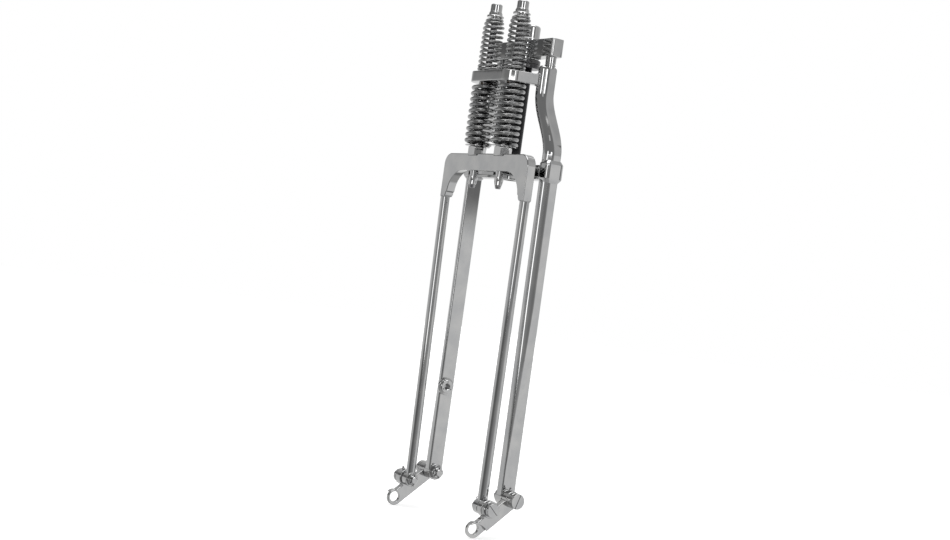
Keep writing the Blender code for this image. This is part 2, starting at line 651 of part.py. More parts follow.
def rocker(side, sign, material):
    """Plate that links the leg eyes and carries the axle at its front end."""
    plate = mirror_slab(f"rocker_{side}", rocker_outline(), ROCKER_IN, ROCKER_OUT, sign, material)
    front = (FRONT_PIVOT[0] + PIVOT_SHIFT, FRONT_PIVOT[1])
    for place, radius in ((REAR_PIVOT, REAR_HUB_RADIUS), (front, FRONT_HUB_RADIUS)):
        join(plate, rod(f"tool_hub_{side}", radius, ((ROCKER_IN + 0.002) * sign, *place),
                        (HUB_OUT * sign, *place), steps=20))
    recess = (AXLE[0] + 0.0004, AXLE[1] - 0.0200)
    floor = (ROCKER_OUT - RECESS_DEPTH) * sign
    cut(plate, rod("recess", RECESS_RADIUS, (floor, *recess), (floor + 0.02 * sign, *recess), steps=32))
    places = ((AXLE, AXLE_RADIUS), (REAR_PIVOT, BUSHING_RADIUS + GAP), (front, OPEN_BUSHING_RADIUS + GAP))
    cut(plate, *[rod("bore", radius, (0.12 * sign, *place), (0.17 * sign, *place), steps=20)
                 for place, radius in places])
    return plate


def rocker_bushings(side, sign, material):
    """Sleeves in the rocker: a running fit at the rear, free play at the front."""
    front = (FRONT_PIVOT[0] + PIVOT_SHIFT, FRONT_PIVOT[1])
    for part, place, inner, outer in (
            ("rear", REAR_PIVOT, STUD_RADIUS + GAP, BUSHING_RADIUS),
            ("front", front, STUD_RADIUS + PIVOT_PLAY, OPEN_BUSHING_RADIUS)):
        length = HUB_OUT - ROCKER_IN - 2 * GAP
        profile = [(inner, 0), (outer, 0), (outer, length), (inner, length)]
        lathe(f"{part}_bushing_{side}", profile, material, at=((ROCKER_IN + GAP) * sign, *place),
              axis=(sign, 0, 0))


def pivot_stud(part, side, sign, chrome):
    """Slotted stud through rocker and leg eye, with a washer, a castle nut and its cotter."""
    place = PIVOTS[part]
    head_radius = HEAD_RADIUS[part]
    eye_in, eye_out = LEG_X - EYE_HALF[part], LEG_X + EYE_HALF[part]
    end = eye_in - NUT_HEIGHT[part] - STUD_END
    head = HEAD_OUT - end
    neck = HUB_OUT + GAP - end
    profile = [(0, 0), (STUD_RADIUS - 0.001, 0), (STUD_RADIUS, 0.001), (STUD_RADIUS, neck),
               (head_radius, neck), (head_radius, head - 0.0015), (head_radius - 0.0015, head), (0, head)]
    stud = lathe(f"{part}_stud_{side}", profile, chrome, at=(end * sign, *place), axis=(sign, 0, 0))
    bounds = sorted(((HEAD_OUT - SLOT_DEPTH) * sign, (HEAD_OUT + 0.01) * sign))
    slot = block("slot", (bounds[0], -0.02, -SLOT_HALF), (bounds[1], 0.02, SLOT_HALF))
    turn = Matrix.Rotation(math.radians(SLOT_TURN[part]), 4, "X")
    slot.data.transform(Matrix.Translation((0, *place)) @ turn)
    pin_x = (end + STUD_END + NUT_SLOT_DEPTH / 2) * sign
    pin_hole = rod("pin", COTTER_RADIUS + GAP, (pin_x, place[0], place[1] - 0.02),
                   (pin_x, place[0], place[1] + 0.02), steps=8)
    cut(stud, slot, pin_hole)
    castle_nut(part, side, sign, eye_in - GAP, chrome)
    cotter = [(0, -0.0120), (COTTER_RADIUS, -0.0120), (COTTER_RADIUS, 0.0105), (0.0020, 0.0115),
              (0.0020, 0.0135), (0, 0.0145)]
    lathe(f"{part}_cotter_{side}", cotter, STEEL, at=(pin_x, *place), steps=8)
    washer = ROCKER_IN - eye_out - 2 * GAP
    inner = STUD_RADIUS + GAP
    lathe(f"{part}_washer_{side}", [(inner, 0), (0.0125, 0), (0.0125, washer), (inner, washer)], STEEL,
          at=((eye_out + GAP) * sign, *place), axis=(sign, 0, 0), steps=14)
    return stud


def castle_nut(part, side, sign, face, material):
    """Hexagon nut with a round crown and a slot over each flat, on the inner side of a leg eye."""
    flats, height = NUT_FLATS[part], NUT_HEIGHT[part]
    floor = height - NUT_SLOT_DEPTH
    levels = [(0, lambda a: hexagon(flats, a)), (floor, lambda a: hexagon(flats, a)),
              (floor, lambda a: flats * 0.455), (height, lambda a: flats * 0.455)]
    at = (face * sign, *PIVOTS[part])
    nut = ring_loft(f"{part}_castle_nut_{side}", levels, STUD_RADIUS + GAP, material, at, axis=(-sign, 0, 0),
                    turn=30)
    tools = []
    for i in range(6):
        slot = block("slot", (0.0055, -NUT_SLOT_HALF, floor), (0.0140, NUT_SLOT_HALF, height + 0.001))
        turn = Matrix.Rotation(math.radians(60 * i), 4, "Z")
        slot.data.transform(Matrix.Translation(at) @ axis_turn((-sign, 0, 0)) @ turn)
        tools.append(slot)
    cut(nut, *tools)
    return nut


def grease_fitting(part, side, sign, place, radius, turn, material):
    """Small nipple standing on the rocker's edge, pointing away from a pivot."""
    heading = (0, math.cos(math.radians(turn)), math.sin(math.radians(turn)))
    start = Vector(((ROCKER_IN + ROCKER_OUT) / 2 * sign, *place)) + Vector(heading) * (radius + GAP)
    profile = [(0, 0), (0.0030, 0), (0.0030, 0.0022), (0.0020, 0.0028), (0.0023, 0.0045), (0.0013, 0.0060),
               (0, 0.0062)]
    return lathe(f"{part}_grease_fitting_{side}", profile, material, at=start, axis=heading, steps=10)


def hang_on(name, place, items):
    """Parent items to an empty on their joint's axis, without moving them."""
    pivot = bpy.data.objects.new(name, None)
    pivot.location = place
    bpy.context.scene.collection.objects.link(pivot)
    for item in items:
        item.parent = pivot
        item.matrix_parent_inverse = Matrix.Translation(place).inverted()


# ---- build -------------------------------------------------------------------------
clear_scene()
CHROME = make_material("chrome", (0.62, 0.62, 0.63), 0.12)
STEEL = make_material("steel", (0.42, 0.42, 0.43), 0.30)
DARK = make_material("dark_steel", (0.035, 0.036, 0.038), 0.35, 0.6)
BRONZE = make_material("bronze", (0.45, 0.32, 0.16), 0.35)

lower_crown(CHROME)
steering_stem(DARK)
stem_nuts(CHROME)
top_clamp(CHROME)
spring_bridge(CHROME)
brake_anchor(CHROME)
yoke(CHROME)
for side_name, side_sign in SIDES.items():
    rear_leg(side_name, side_sign, CHROME)
    front_leg(side_name, side_sign, CHROME)
    spring_rod(side_name, side_sign, STEEL, CHROME)
    springs(side_name, side_sign, CHROME)
    rocker(side_name, side_sign, CHROME)
    rocker_bushings(side_name, side_sign, BRONZE)
    pivot_stud("rear", side_name, side_sign, CHROME)
    pivot_stud("front", side_name, side_sign, CHROME)
    grease_fitting("rear", side_name, side_sign, REAR_PIVOT, END_RADIUS, 100, STEEL)
    grease_fitting("front", side_name, side_sign, FRONT_PIVOT, LOBE_RADIUS, 110, STEEL)

hang_on("front_travel_axis", (0, ROD_Y, 0),
        [bpy.data.objects["yoke"]]
        + [bpy.data.objects[f"{name}_{side}"] for name in FRONT_PAIRS for side in SIDES])
for side_name, side_sign in SIDES.items():
    hang_on(f"rocker_axis_{side_name}", ((ROCKER_IN + ROCKER_OUT) / 2 * side_sign, *REAR_PIVOT),
            [bpy.data.objects[f"{name}_{side_name}"] for name in ROCKER_PARTS])
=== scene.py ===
"""Looks of the springer fork: fine meshes, plated metal, studio light and the camera."""

import json
from math import asin, atan2, cos, degrees, pi, radians, sin

import bmesh
import bpy
from mathutils import Matrix, Vector


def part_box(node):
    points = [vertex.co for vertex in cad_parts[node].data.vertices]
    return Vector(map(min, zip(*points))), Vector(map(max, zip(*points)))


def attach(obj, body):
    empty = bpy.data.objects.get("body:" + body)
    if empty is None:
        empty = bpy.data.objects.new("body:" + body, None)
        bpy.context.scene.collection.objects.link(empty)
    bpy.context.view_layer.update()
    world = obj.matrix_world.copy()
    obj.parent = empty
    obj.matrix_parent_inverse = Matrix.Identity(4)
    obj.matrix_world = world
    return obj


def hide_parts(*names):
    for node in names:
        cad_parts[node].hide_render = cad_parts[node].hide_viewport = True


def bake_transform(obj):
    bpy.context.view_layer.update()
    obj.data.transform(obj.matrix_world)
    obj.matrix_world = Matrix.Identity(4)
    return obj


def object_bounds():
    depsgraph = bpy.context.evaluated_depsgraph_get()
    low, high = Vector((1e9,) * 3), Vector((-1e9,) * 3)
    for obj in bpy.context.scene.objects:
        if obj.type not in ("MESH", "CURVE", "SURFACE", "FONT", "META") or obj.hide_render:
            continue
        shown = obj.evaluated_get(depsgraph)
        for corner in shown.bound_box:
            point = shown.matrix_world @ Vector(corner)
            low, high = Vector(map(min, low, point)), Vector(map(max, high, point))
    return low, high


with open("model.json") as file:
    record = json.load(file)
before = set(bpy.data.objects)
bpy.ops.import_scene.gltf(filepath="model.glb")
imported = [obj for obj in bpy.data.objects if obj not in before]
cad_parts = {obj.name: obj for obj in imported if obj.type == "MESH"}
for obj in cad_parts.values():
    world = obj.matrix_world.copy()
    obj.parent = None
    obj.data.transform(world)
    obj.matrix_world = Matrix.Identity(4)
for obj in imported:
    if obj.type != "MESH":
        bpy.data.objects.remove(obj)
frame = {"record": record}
CAD_BOUNDS = [list(corner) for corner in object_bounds()]

# ---- facts read from the frame
RECORD = frame["record"]
BODY = {node: body for body, nodes in RECORD["behaviour"]["bodies"].items() for node in nodes}
MOUNT = {mount["name"]: Vector(mount["pos_m"]) for mount in RECORD["mounts"]}
JOINT = {joint["name"]: joint for joint in RECORD["behaviour"]["joints"]}
SIDES = {"left": 1, "right": -1}


def centre_yz(node):
    low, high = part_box(node)
    return ((low[1] + high[1]) / 2, (low[2] + high[2]) / 2)


def span(node, axis):
    low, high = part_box(node)
    return low[axis], high[axis]


GAP = 0.0003
REAR_PIVOT = tuple(JOINT["rocker_left_swing"]["pos_m"][1:])
FRONT_PIVOT = centre_yz("front_washer_left")
PIVOTS = {"rear": REAR_PIVOT, "front": FRONT_PIVOT}
BUSHING_SHIFT = centre_yz("front_bushing_left")[0] - FRONT_PIVOT[0]
AXLE = (MOUNT["axle_spacer_face_left"].y, MOUNT["axle_spacer_face_left"].z + 0.0128)
AXLE_RADIUS = 0.009525

# Rear legs
LEG_X = 0.120
LEG_TOP_X = 0.077
LEG_TOP_Y = -0.003
LEG_WIDTH = 0.016
LEG_BACK = 0.014
LEG_FRONT_LOW = -0.0139
LEG_FRONT_HIGH = -0.016
LEG_EDGE = 0.0018
NOSE_SHORT = 0.003
NOSE_LONG = 0.018
NOSE_SHAPE = 0.85
LEG_CORNER = 0.003
NOSE_LOW = -0.520
NOSE_HIGH = -0.245
BEND_START = 0.013
BEND_END = 0.122
LEG_SHOULDER = 0.167
SHOULDER_ROUND = 0.006
COLLAR_RADIUS = 0.0095
LEG_EYE_RADIUS = 0.0145
EYE_HALF = {"rear": 0.01, "front": 0.007}

# Front tubes and yoke
FRONT_Y = -0.0485
TUBE_TOP_X = 0.1290
TUBE_TOP_Y = -0.0491
TUBE_LOW_X = 0.1215
TUBE_LOW_Y = -0.0457
TUBE_RADIUS = 0.0084
TUBE_EYE_RADIUS = 0.0128
FLAT_HEIGHT = 0.0145
FLAT_SLOPE = 0.01
FLAT_REACH = 0.02
VENT_HEIGHT = -0.083
VENT_RADIUS = 0.0012
YOKE_LOW, YOKE_TOP = span("yoke", 2)[1] - 0.079, span("yoke", 2)[1]
YOKE_HALF = span("yoke", 0)[1]
YOKE_THICK = 0.0175
YOKE_CORNER = 0.02
ARCH_TOP = -0.023
ARCH_RADIUS = 0.045
ARCH_HALF = 0.115
SEAT_FACE = 0.003

# Crown, clamp, bridge and stem
STEM_RADIUS = 0.0127
STEM_BORE = 0.009
STEM_THREAD_LOW = 0.158
THREAD_DEPTH = 0.0006
CROWN_LOW, CROWN_HIGH = -0.03, -0.005
CROWN_HALF = (0.112, 0.014)
POCKET_IN, POCKET_OUT = 0.034, 0.1045
POCKET_WEB, POCKET_CUT = 0.0075, 0.02
BOSS_X, BOSS_Y = 0.1205, 0.0012
BOSS_HALF = (0.0135, 0.0188)
BOSS_LOW, BOSS_HIGH = -0.034, 0.004
STEM_BOSS_RADIUS = 0.025
BRIDGE_LOW, BRIDGE_HIGH = span("spring_bridge", 2)
BRIDGE_HALF = 0.066
BRIDGE_FRONT = span("spring_bridge", 1)[0]
BRIDGE_BACK = -0.027
BRIDGE_CORNER = 0.0225
ARM_IN, ARM_OUT = 0.055, 0.079
ARM_WRAP = 0.005
CLAMP_LOW, CLAMP_HIGH = 0.184, 0.215
CLAMP_HALF = span("top_clamp", 0)[1]
CLAMP_DEPTH = 0.025
CLAMP_BOSS_RADIUS = 0.022
SCREW_RADIUS = 0.004
SCREW_HEAD = 0.007

# Rods and springs
ROD_X = 0.042
ROD_Y = centre_yz("spring_rod_left")[0]
ROD_RADIUS = 0.006
SEAT_NUT_FLATS = 0.0275
TAPER_START = 0.80

# Rockers and studs
ROCKER_IN, ROCKER_OUT = 0.1315, 0.1445
HUB_OUT = 0.1525
HEAD_OUT = span("rear_stud_left", 0)[1]
BAR_TOP = 0.008
AXLE_EYE_RADIUS = 0.0143
EYE_DROP = 0.0018
LOBE_RADIUS = 0.015
END_RADIUS = 0.0145
HUB_RADIUS = {"rear": 0.0135, "front": 0.0145}
BUSHING_RADIUS = {"rear": 0.0092, "front": 0.0112}
STUD_RADIUS = 0.00635
WASHER_RADIUS = 0.0122
HEAD_RADIUS = {"rear": 0.013, "front": 0.012}
SLOT_TURN = {"rear": 71, "front": -45}
NUT_FLATS = {"rear": 0.0215, "front": 0.0185}
NUT_HEIGHT = {"rear": 0.01, "front": 0.0075}
NUT_SLOT_DEPTH = 0.0031
NUT_SLOT_HALF = 0.0016
STUD_END = 0.003
COTTER_RADIUS = 0.0012
RECESS_SHIFT = (0.0004, -0.02)
RECESS_RADIUS = 0.0296
RECESS_DEPTH = 0.007


# ---- materials
def set_inputs(node, values):
    for name, value in values.items():
        node.inputs[name].default_value = value


def noise(nodes, links, where, scale, detail):
    texture = nodes.new("ShaderNodeTexNoise")
    set_inputs(texture, {"Scale": scale, "Detail": detail})
    links.new(where.outputs["Object"], texture.inputs["Vector"])
    return texture.outputs["Fac"]


def metal(name, dark, light, rough, scale, bump, metallic=1.0):
    """Metal whose colour, roughness and surface drift gently; bump is scale, strength and distance."""
    material = bpy.data.materials.new(name)
    material.use_nodes = True
    nodes, links = material.node_tree.nodes, material.node_tree.links
    shader = nodes["Principled BSDF"]
    set_inputs(shader, {"Metallic": metallic})
    where = nodes.new("ShaderNodeTexCoord")
    drift = noise(nodes, links, where, scale, 4.0)
    tint = nodes.new("ShaderNodeValToRGB")
    for stop, place, colour in zip(tint.color_ramp.elements, (0.35, 0.65), (dark, light)):
        stop.position = place
        stop.color = (*colour, 1)
    links.new(drift, tint.inputs["Fac"])
    links.new(tint.outputs["Color"], shader.inputs["Base Color"])
    gloss = nodes.new("ShaderNodeMapRange")
    set_inputs(gloss, {"To Min": rough[0], "To Max": rough[1]})
    links.new(drift, gloss.inputs["Value"])
    links.new(gloss.outputs["Result"], shader.inputs["Roughness"])
    grain_scale, strength, distance = bump
    relief = nodes.new("ShaderNodeBump")
    set_inputs(relief, {"Strength": strength, "Distance": distance})
    links.new(noise(nodes, links, where, grain_scale, 3.0), relief.inputs["Height"])
    links.new(relief.outputs["Normal"], shader.inputs["Normal"])
    return material


CHROME = metal("chrome", dark=(0.56, 0.565, 0.57), light=(0.64, 0.64, 0.635),
               rough=(0.035, 0.07), scale=35, bump=(90, 0.05, 0.0004))
# Chrome for the outer and rebound springs, darker than the plain chrome: painted shade, standing for the
# shade between and inside the coils.
SPRING_CHROME_SHADED = metal("spring_chrome", dark=(0.35, 0.355, 0.36), light=(0.47, 0.47, 0.465),
                      rough=(0.09, 0.17), scale=60, bump=(260, 0.10, 0.0003))
# Dark steel for the bearing adjuster and the inner springs. It is kept this dark partly as painted shade
# for the inner springs inside the main springs.
DARK_STEEL_AND_SHADE = metal("dark_steel", dark=(0.11, 0.11, 0.115), light=(0.19, 0.19, 0.19),
                   rough=(0.18, 0.32), scale=80, bump=(400, 0.12, 0.0002))
ZINC = metal("zinc_steel", dark=(0.34, 0.34, 0.35), light=(0.50, 0.50, 0.50),
             rough=(0.22, 0.38), scale=120, bump=(700, 0.15, 0.0002))
BLACK = metal("black_oxide", dark=(0.02, 0.021, 0.023), light=(0.045, 0.046, 0.048),
              rough=(0.25, 0.40), scale=70, bump=(500, 0.12, 0.0002), metallic=0.7)
BRONZE = metal("bronze", dark=(0.36, 0.23, 0.10), light=(0.52, 0.36, 0.18),
               rough=(0.22, 0.36), scale=90, bump=(600, 0.12, 0.0002))


# ---- mesh tools
def add_object(name, shape):
    """Turn a bmesh into an object with its faces pointing out."""
    bmesh.ops.recalc_face_normals(shape, faces=shape.faces)
    mesh = bpy.data.meshes.new(name)
    shape.to_mesh(mesh)
    shape.free()
    item = bpy.data.objects.new(name, mesh)
    bpy.context.scene.collection.objects.link(item)
    return item


def apply_modifiers(item):
    bpy.context.view_layer.update()
    ready = item.evaluated_get(bpy.context.evaluated_depsgraph_get())
    mesh = bpy.data.meshes.new_from_object(ready)
    item.modifiers.clear()
    item.data = mesh


def boolean(target, tools, operation="DIFFERENCE"):
    """Join or cut target with tools that don't touch each other, then drop them."""
    merged = bmesh.new()
    for tool in tools:
        merged.from_mesh(tool.data)
        bpy.data.objects.remove(tool, do_unlink=True)
    tool = add_object("tool", merged)
    step = target.modifiers.new("Boolean", "BOOLEAN")
    step.operation = operation
    step.solver = "EXACT"
    step.object = tool
    apply_modifiers(target)
    bpy.data.objects.remove(tool, do_unlink=True)


def bevel(item, width, segments=3, angle=40):
    step = item.modifiers.new("Bevel", "BEVEL")
    step.width = width
    step.segments = segments
    step.limit_method = "ANGLE"
    step.angle_limit = radians(angle)
    step.miter_outer = "MITER_ARC"
    apply_modifiers(item)


def six_cuts(target, low, high, placing, start=0):
    """Cut six equal blocks out of a nut, evenly spread round its axis."""
    tools = []
    for i in range(6):
        tool = block(low, high)
        tool.data.transform(placing @ Matrix.Rotation(radians(60 * i + start), 4, "Z"))
        tools.append(tool)
    boolean(target, tools)


def finish_piece(item, node, material=CHROME, rides=True, sharp=32):
    """Shade a piece, dress it, hang it on its body and let it stand for its CAD node."""
    item.data.shade_smooth()
    item.data.set_sharp_from_angle(angle=radians(sharp))
    level = item.modifiers.new("Flats", "WEIGHTED_NORMAL")
    level.keep_sharp = True
    level.weight = 80
    item.data.materials.clear()
    item.data.materials.append(material)
    item.name = f"look_{node}"
    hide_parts(node)
    if rides:
        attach(item, BODY[node])


def turned(node, profile, material=CHROME, at=(0, 0, 0), axis=(0, 0, 1), steps=64, soft=0.0):
    """Solid of revolution that stands for a CAD node."""
    finish_piece(lathe(node, profile, at, axis, steps, soft), node, material)


def axis_turn(axis):
    return Vector((0, 0, 1)).rotation_difference(Vector(axis)).to_matrix().to_4x4()


def arc(centre, radius, start, stop, count):
    turns = [radians(start + (stop - start) * i / count) for i in range(count + 1)]
    return [(centre[0] + radius * cos(a), centre[1] + radius * sin(a)) for a in turns]


def round_corners(points, radius, closed=False, steps=3):
    """Replace the corners of a 2-D line by short curves."""
    count = len(points)
    result = []
    for i, point in enumerate(points):
        if not closed and i in (0, count - 1):
            result.append(point)
            continue
        here, before, after = Vector(point), Vector(points[i - 1]), Vector(points[(i + 1) % count])
        back, ahead = before - here, after - here
        reach = min(radius, back.length * 0.45, ahead.length * 0.45)
        start, end = here + back.normalized() * reach, here + ahead.normalized() * reach
        for k in range(steps + 1):
            t = k / steps
            result.append(tuple(start * (1 - t) ** 2 + here * 2 * t * (1 - t) + end * t * t))
    return result


def sleeve(inner, outer, low, high):
    """Outline of a plain sleeve, or of a cylinder when inner is zero."""
    return [(inner, low), (outer, low), (outer, high), (inner, high)]


def lathe(name, profile, at=(0, 0, 0), axis=(0, 0, 1), steps=64, soft=0.0):
    """Solid of revolution of (radius, height) points; soft rounds its edges."""
    bored = profile[0][0] > 1e-7
    if soft:
        profile = round_corners(profile, soft, closed=bored)
    shape = bmesh.new()
    rings = []
    turn = 2 * pi / steps
    for radius, height in profile:
        if radius < 1e-7:
            rings.append([shape.verts.new((0, 0, height))])
            continue
        rings.append([shape.verts.new((radius * cos(i * turn), radius * sin(i * turn), height))
                      for i in range(steps)])
    pairs = list(zip(rings, rings[1:])) + ([(rings[-1], rings[0])] if bored else [])
    for low, high in pairs:
        for i in range(steps):
            j = (i + 1) % steps
            corners = [low[i % len(low)], low[j % len(low)], high[j % len(high)], high[i % len(high)]]
            unique = list(dict.fromkeys(corners))
            if len(unique) > 2:
                shape.faces.new(unique)
    bmesh.ops.transform(shape, matrix=Matrix.Translation(at) @ axis_turn(axis), verts=shape.verts)
    return add_object(name, shape)


def rod(radius, start, end, steps=48):
    line = Vector(end) - Vector(start)
    return lathe("rod", sleeve(0, radius, 0, line.length), at=start, axis=line.normalized(), steps=steps)


def bore(radius, start, end, edge=0.0004, steps=48):
    """Cutter for a hole with a small chamfer where it meets both faces."""
    line = Vector(end) - Vector(start)
    flare, over = radius + edge, 0.01
    profile = [(0, -over), (flare, -over), (flare, 0), (radius, edge), (radius, line.length - edge),
               (flare, line.length), (flare, line.length + over), (0, line.length + over)]
    return lathe("bore", profile, at=start, axis=line.normalized(), steps=steps)


def slab(name, outline, low, high, plane):
    """Extrude a 2-D outline: plane 'xy' along Z, 'xz' along Y or 'yz' along X."""
    place = {
        "xy": lambda a, b, h: (a, b, h),
        "xz": lambda a, b, h: (a, h, b),
        "yz": lambda a, b, h: (h, a, b),
    }[plane]
    shape = bmesh.new()
    base = shape.faces.new([shape.verts.new(place(a, b, low)) for a, b in outline])
    grown = bmesh.ops.extrude_face_region(shape, geom=[base])
    raised = [part for part in grown["geom"] if isinstance(part, bmesh.types.BMVert)]
    bmesh.ops.translate(shape, vec=place(0, 0, high - low), verts=raised)
    return add_object(name, shape)


def rectangle(low, high):
    return [(low[0], low[1]), (high[0], low[1]), (high[0], high[1]), (low[0], high[1])]


def block(low, high):
    return slab("block", rectangle(low, high), low[2], high[2], "xy")


def join_rings(shape, pairs):
    for low, high in pairs:
        for i in range(len(low)):
            j = (i + 1) % len(low)
            shape.faces.new((low[i], low[j], high[j], high[i]))


def loft(name, rings):
    """Closed body through rings of equally many points."""
    shape = bmesh.new()
    loops = [[shape.verts.new(point) for point in ring] for ring in rings]
    join_rings(shape, zip(loops, loops[1:]))
    shape.faces.new(loops[0])
    shape.faces.new(loops[-1])
    return add_object(name, shape)


def hexagon(flats, angle):
    """Radius of a hexagon at an angle in degrees."""
    return flats / 2 / cos(radians((angle % 60) - 30))


def bored_loft(name, levels, hole, at, axis=(0, 0, 1), turn=0.0, steps=72):
    """Bored body through levels of (height, radius) or (height, largest radius, flats of a hexagon)."""
    shape = bmesh.new()
    loops = []
    for height, largest, *flats in levels + [(levels[-1][0], hole), (levels[0][0], hole)]:
        loop = []
        for i in range(steps):
            angle = 360 * i / steps
            radius = min([largest] + [hexagon(size, angle) for size in flats])
            heading = radians(angle + turn)
            loop.append(shape.verts.new((radius * cos(heading), radius * sin(heading), height)))
        loops.append(loop)
    join_rings(shape, zip(loops, loops[1:] + loops[:1]))
    bmesh.ops.transform(shape, matrix=Matrix.Translation(at) @ axis_turn(axis), verts=shape.verts)
    return add_object(name, shape)


def hex_levels(flats, low, high, chamfer=0.0016):
    """Levels of a hexagon nut whose corners are turned down to a cone at its ends."""
    narrow = flats / 2 * 0.985
    widen = flats / 2 / cos(radians(30)) + 0.0001 - narrow
    cones = [(chamfer * i / 5, narrow + widen * i / 5) for i in range(6)]
    bottom = [(low + rise, cone, flats) for rise, cone in cones]
    return bottom + [(high - rise, cone, flats) for rise, cone in reversed(cones)]


def coil(name, at, low, high, turns, wire, radius_of, closed, steps=48, sides=16):
    """Helical spring along Z with closed end turns, ground flat."""
    sunk = 0.55 * wire
    free = high - low - 2 * sunk
    shut = closed * 2 * wire * 1.04
    rings = []
    for i in range(int(turns * steps) + 1):
        turn = i / steps
        if turn < closed:
            rise = turn / closed * shut
        elif turn > turns - closed:
            rise = free - (turns - turn) / closed * shut
        else:
            rise = shut + (turn - closed) / (turns - 2 * closed) * (free - 2 * shut)
        angle = 2 * pi * turn
        out = Vector((cos(angle), sin(angle), 0))
        centre = Vector((at[0], at[1], low + sunk + rise)) + out * radius_of(turn / turns)
        ring = []
        for k in range(sides):
            a = 2 * pi * (k + 0.5) / sides
            point = centre + out * wire * cos(a) + Vector((0, 0, wire * sin(a)))
            point.z = min(high, max(low, point.z))
            ring.append(point)
        rings.append(ring)
    return loft(name, rings)


def ring_about(point, side, other, size):
    """Ten points round a point, in the plane of two directions."""
    turns = [2 * pi * k / 10 for k in range(10)]
    return [point + (side * cos(turn) + other * sin(turn)) * size for turn in turns]


def bead(name, path, radius, pitch, body):
    """Weld bead: a rippled cord along a line, its ends tapered."""
    rings = []
    for i, point in enumerate(path):
        before, after = path[max(0, i - 1)], path[min(len(path) - 1, i + 1)]
        along = (after - before).normalized()
        side = along.cross(Vector((0.31, 0.17, 0.93))).normalized()
        other = along.cross(side)
        edge = min(1.0, 0.35 + min(i, len(path) - 1 - i) / 4)
        size = radius * edge * (1 + 0.16 * sin(2 * pi * i / pitch))
        rings.append(ring_about(point, side, other, size))
    item = loft(name, rings)
    item.data.shade_smooth()
    item.data.materials.append(CHROME)
    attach(item, body)


# ---- rear frame
def share_of(value, low, high):
    return min(1.0, max(0.0, (value - low) / (high - low)))


def leg_front(height):
    return LEG_FRONT_LOW + (LEG_FRONT_HIGH - LEG_FRONT_LOW) * share_of(height, REAR_PIVOT[1], 0.0)


def leg_section(height, shrink=0.0):
    """Outline of a left rear leg: flat inside and behind, an oval nose that grows towards the crown."""
    nose = NOSE_SHORT + (NOSE_LONG - NOSE_SHORT) * share_of(height, NOSE_LOW, NOSE_HIGH)
    half, front = LEG_WIDTH / 2, leg_front(height)
    points = arc((half - LEG_EDGE, LEG_BACK - LEG_EDGE), LEG_EDGE, 0, 90, 5)
    points += arc((LEG_EDGE - half, LEG_BACK - LEG_EDGE), LEG_EDGE, 90, 180, 5)
    points += arc((LEG_CORNER - half, front + LEG_CORNER), LEG_CORNER, 180, 270, 6)
    steps = 24
    for i in range(1, steps + 1):
        turn = radians(90 * i / steps)
        across = (2 * half - LEG_CORNER) * sin(turn) ** NOSE_SHAPE
        points.append((LEG_CORNER - half + across, front + nose * (1 - abs(cos(turn)) ** NOSE_SHAPE)))
    middle, deep = (LEG_BACK + front) / 2, (LEG_BACK - front) / 2
    return [(a * (1 - shrink / half), middle + (b - middle) * (1 - shrink / deep)) for a, b in points]


def leg_centre(height):
    part = share_of(height, BEND_START, BEND_END)
    ease = part * part * (3 - 2 * part)
    return Vector((LEG_X + (LEG_TOP_X - LEG_X) * ease, LEG_TOP_Y * ease, height))


def leg_ring(sign, height, shrink=0.0):
    here = leg_centre(height)
    tangent = (leg_centre(height + 0.0005) - leg_centre(height - 0.0005)).normalized()
    side = Vector((tangent.z, 0, -tangent.x)).normalized()
    ring = []
    for a, b in leg_section(height, shrink):
        point = here + side * a + Vector((0, b, 0))
        ring.append(Vector((point.x * sign, point.y, point.z)))
    return ring


def leg_cutter(sign, low, high):
    """Straight cutter for the seat of a rear leg, with a gap all round."""
    return loft("seat", [leg_ring(sign, height, shrink=-GAP) for height in (low, high)])


def leg_eye(part, sign, radius, edge):
    """Disc for the eye of a leg, and the cutter for its hole."""
    half = EYE_HALF[part]
    inner, outer = [((LEG_X + way * half) * sign, *PIVOTS[part]) for way in (-1, 1)]
    profile = round_corners(sleeve(0, radius, 0, 2 * half), edge)
    disc = lathe("eye", profile, at=inner, axis=(sign, 0, 0), steps=72)
    return disc, bore(STUD_RADIUS + GAP, inner, outer)


def rear_leg(side, sign):
    heights = [REAR_PIVOT[1], NOSE_LOW]
    heights += [NOSE_LOW + (NOSE_HIGH - NOSE_LOW) * i / 8 for i in range(1, 9)] + [0]
    heights += [BEND_START + (BEND_END - BEND_START) * i / 30 for i in range(31)]
    heights.append(LEG_SHOULDER - SHOULDER_ROUND)
    rings = [leg_ring(sign, height) for height in heights]
    for i in range(1, 7):
        turn = radians(90 * i / 7)
        height = LEG_SHOULDER - SHOULDER_ROUND * (1 - sin(turn))
        rings.append(leg_ring(sign, height, shrink=SHOULDER_ROUND * 0.75 * (1 - cos(turn))))
    leg = loft(f"rear_leg_{side}", rings)
    top = (LEG_TOP_X * sign, 0, LEG_SHOULDER - 0.0035)
    collar_top = span(f"rear_leg_{side}", 2)[1] - top[2]
    neck = [(0, 0), (0.0085, 0), (0.0085, 0.004), (COLLAR_RADIUS, 0.0045), (COLLAR_RADIUS, 0.0062),
            (0.0086, 0.0067), (0.0086, 0.0082), (0.0091, 0.0088), (0.0091, collar_top), (0, collar_top)]
    disc, hole = leg_eye("rear", sign, LEG_EYE_RADIUS, 0.0012)
    boolean(leg, [disc, lathe("neck", neck, at=top, steps=48)], "UNION")
    boolean(leg, [hole])
    finish_piece(leg, f"rear_leg_{side}")


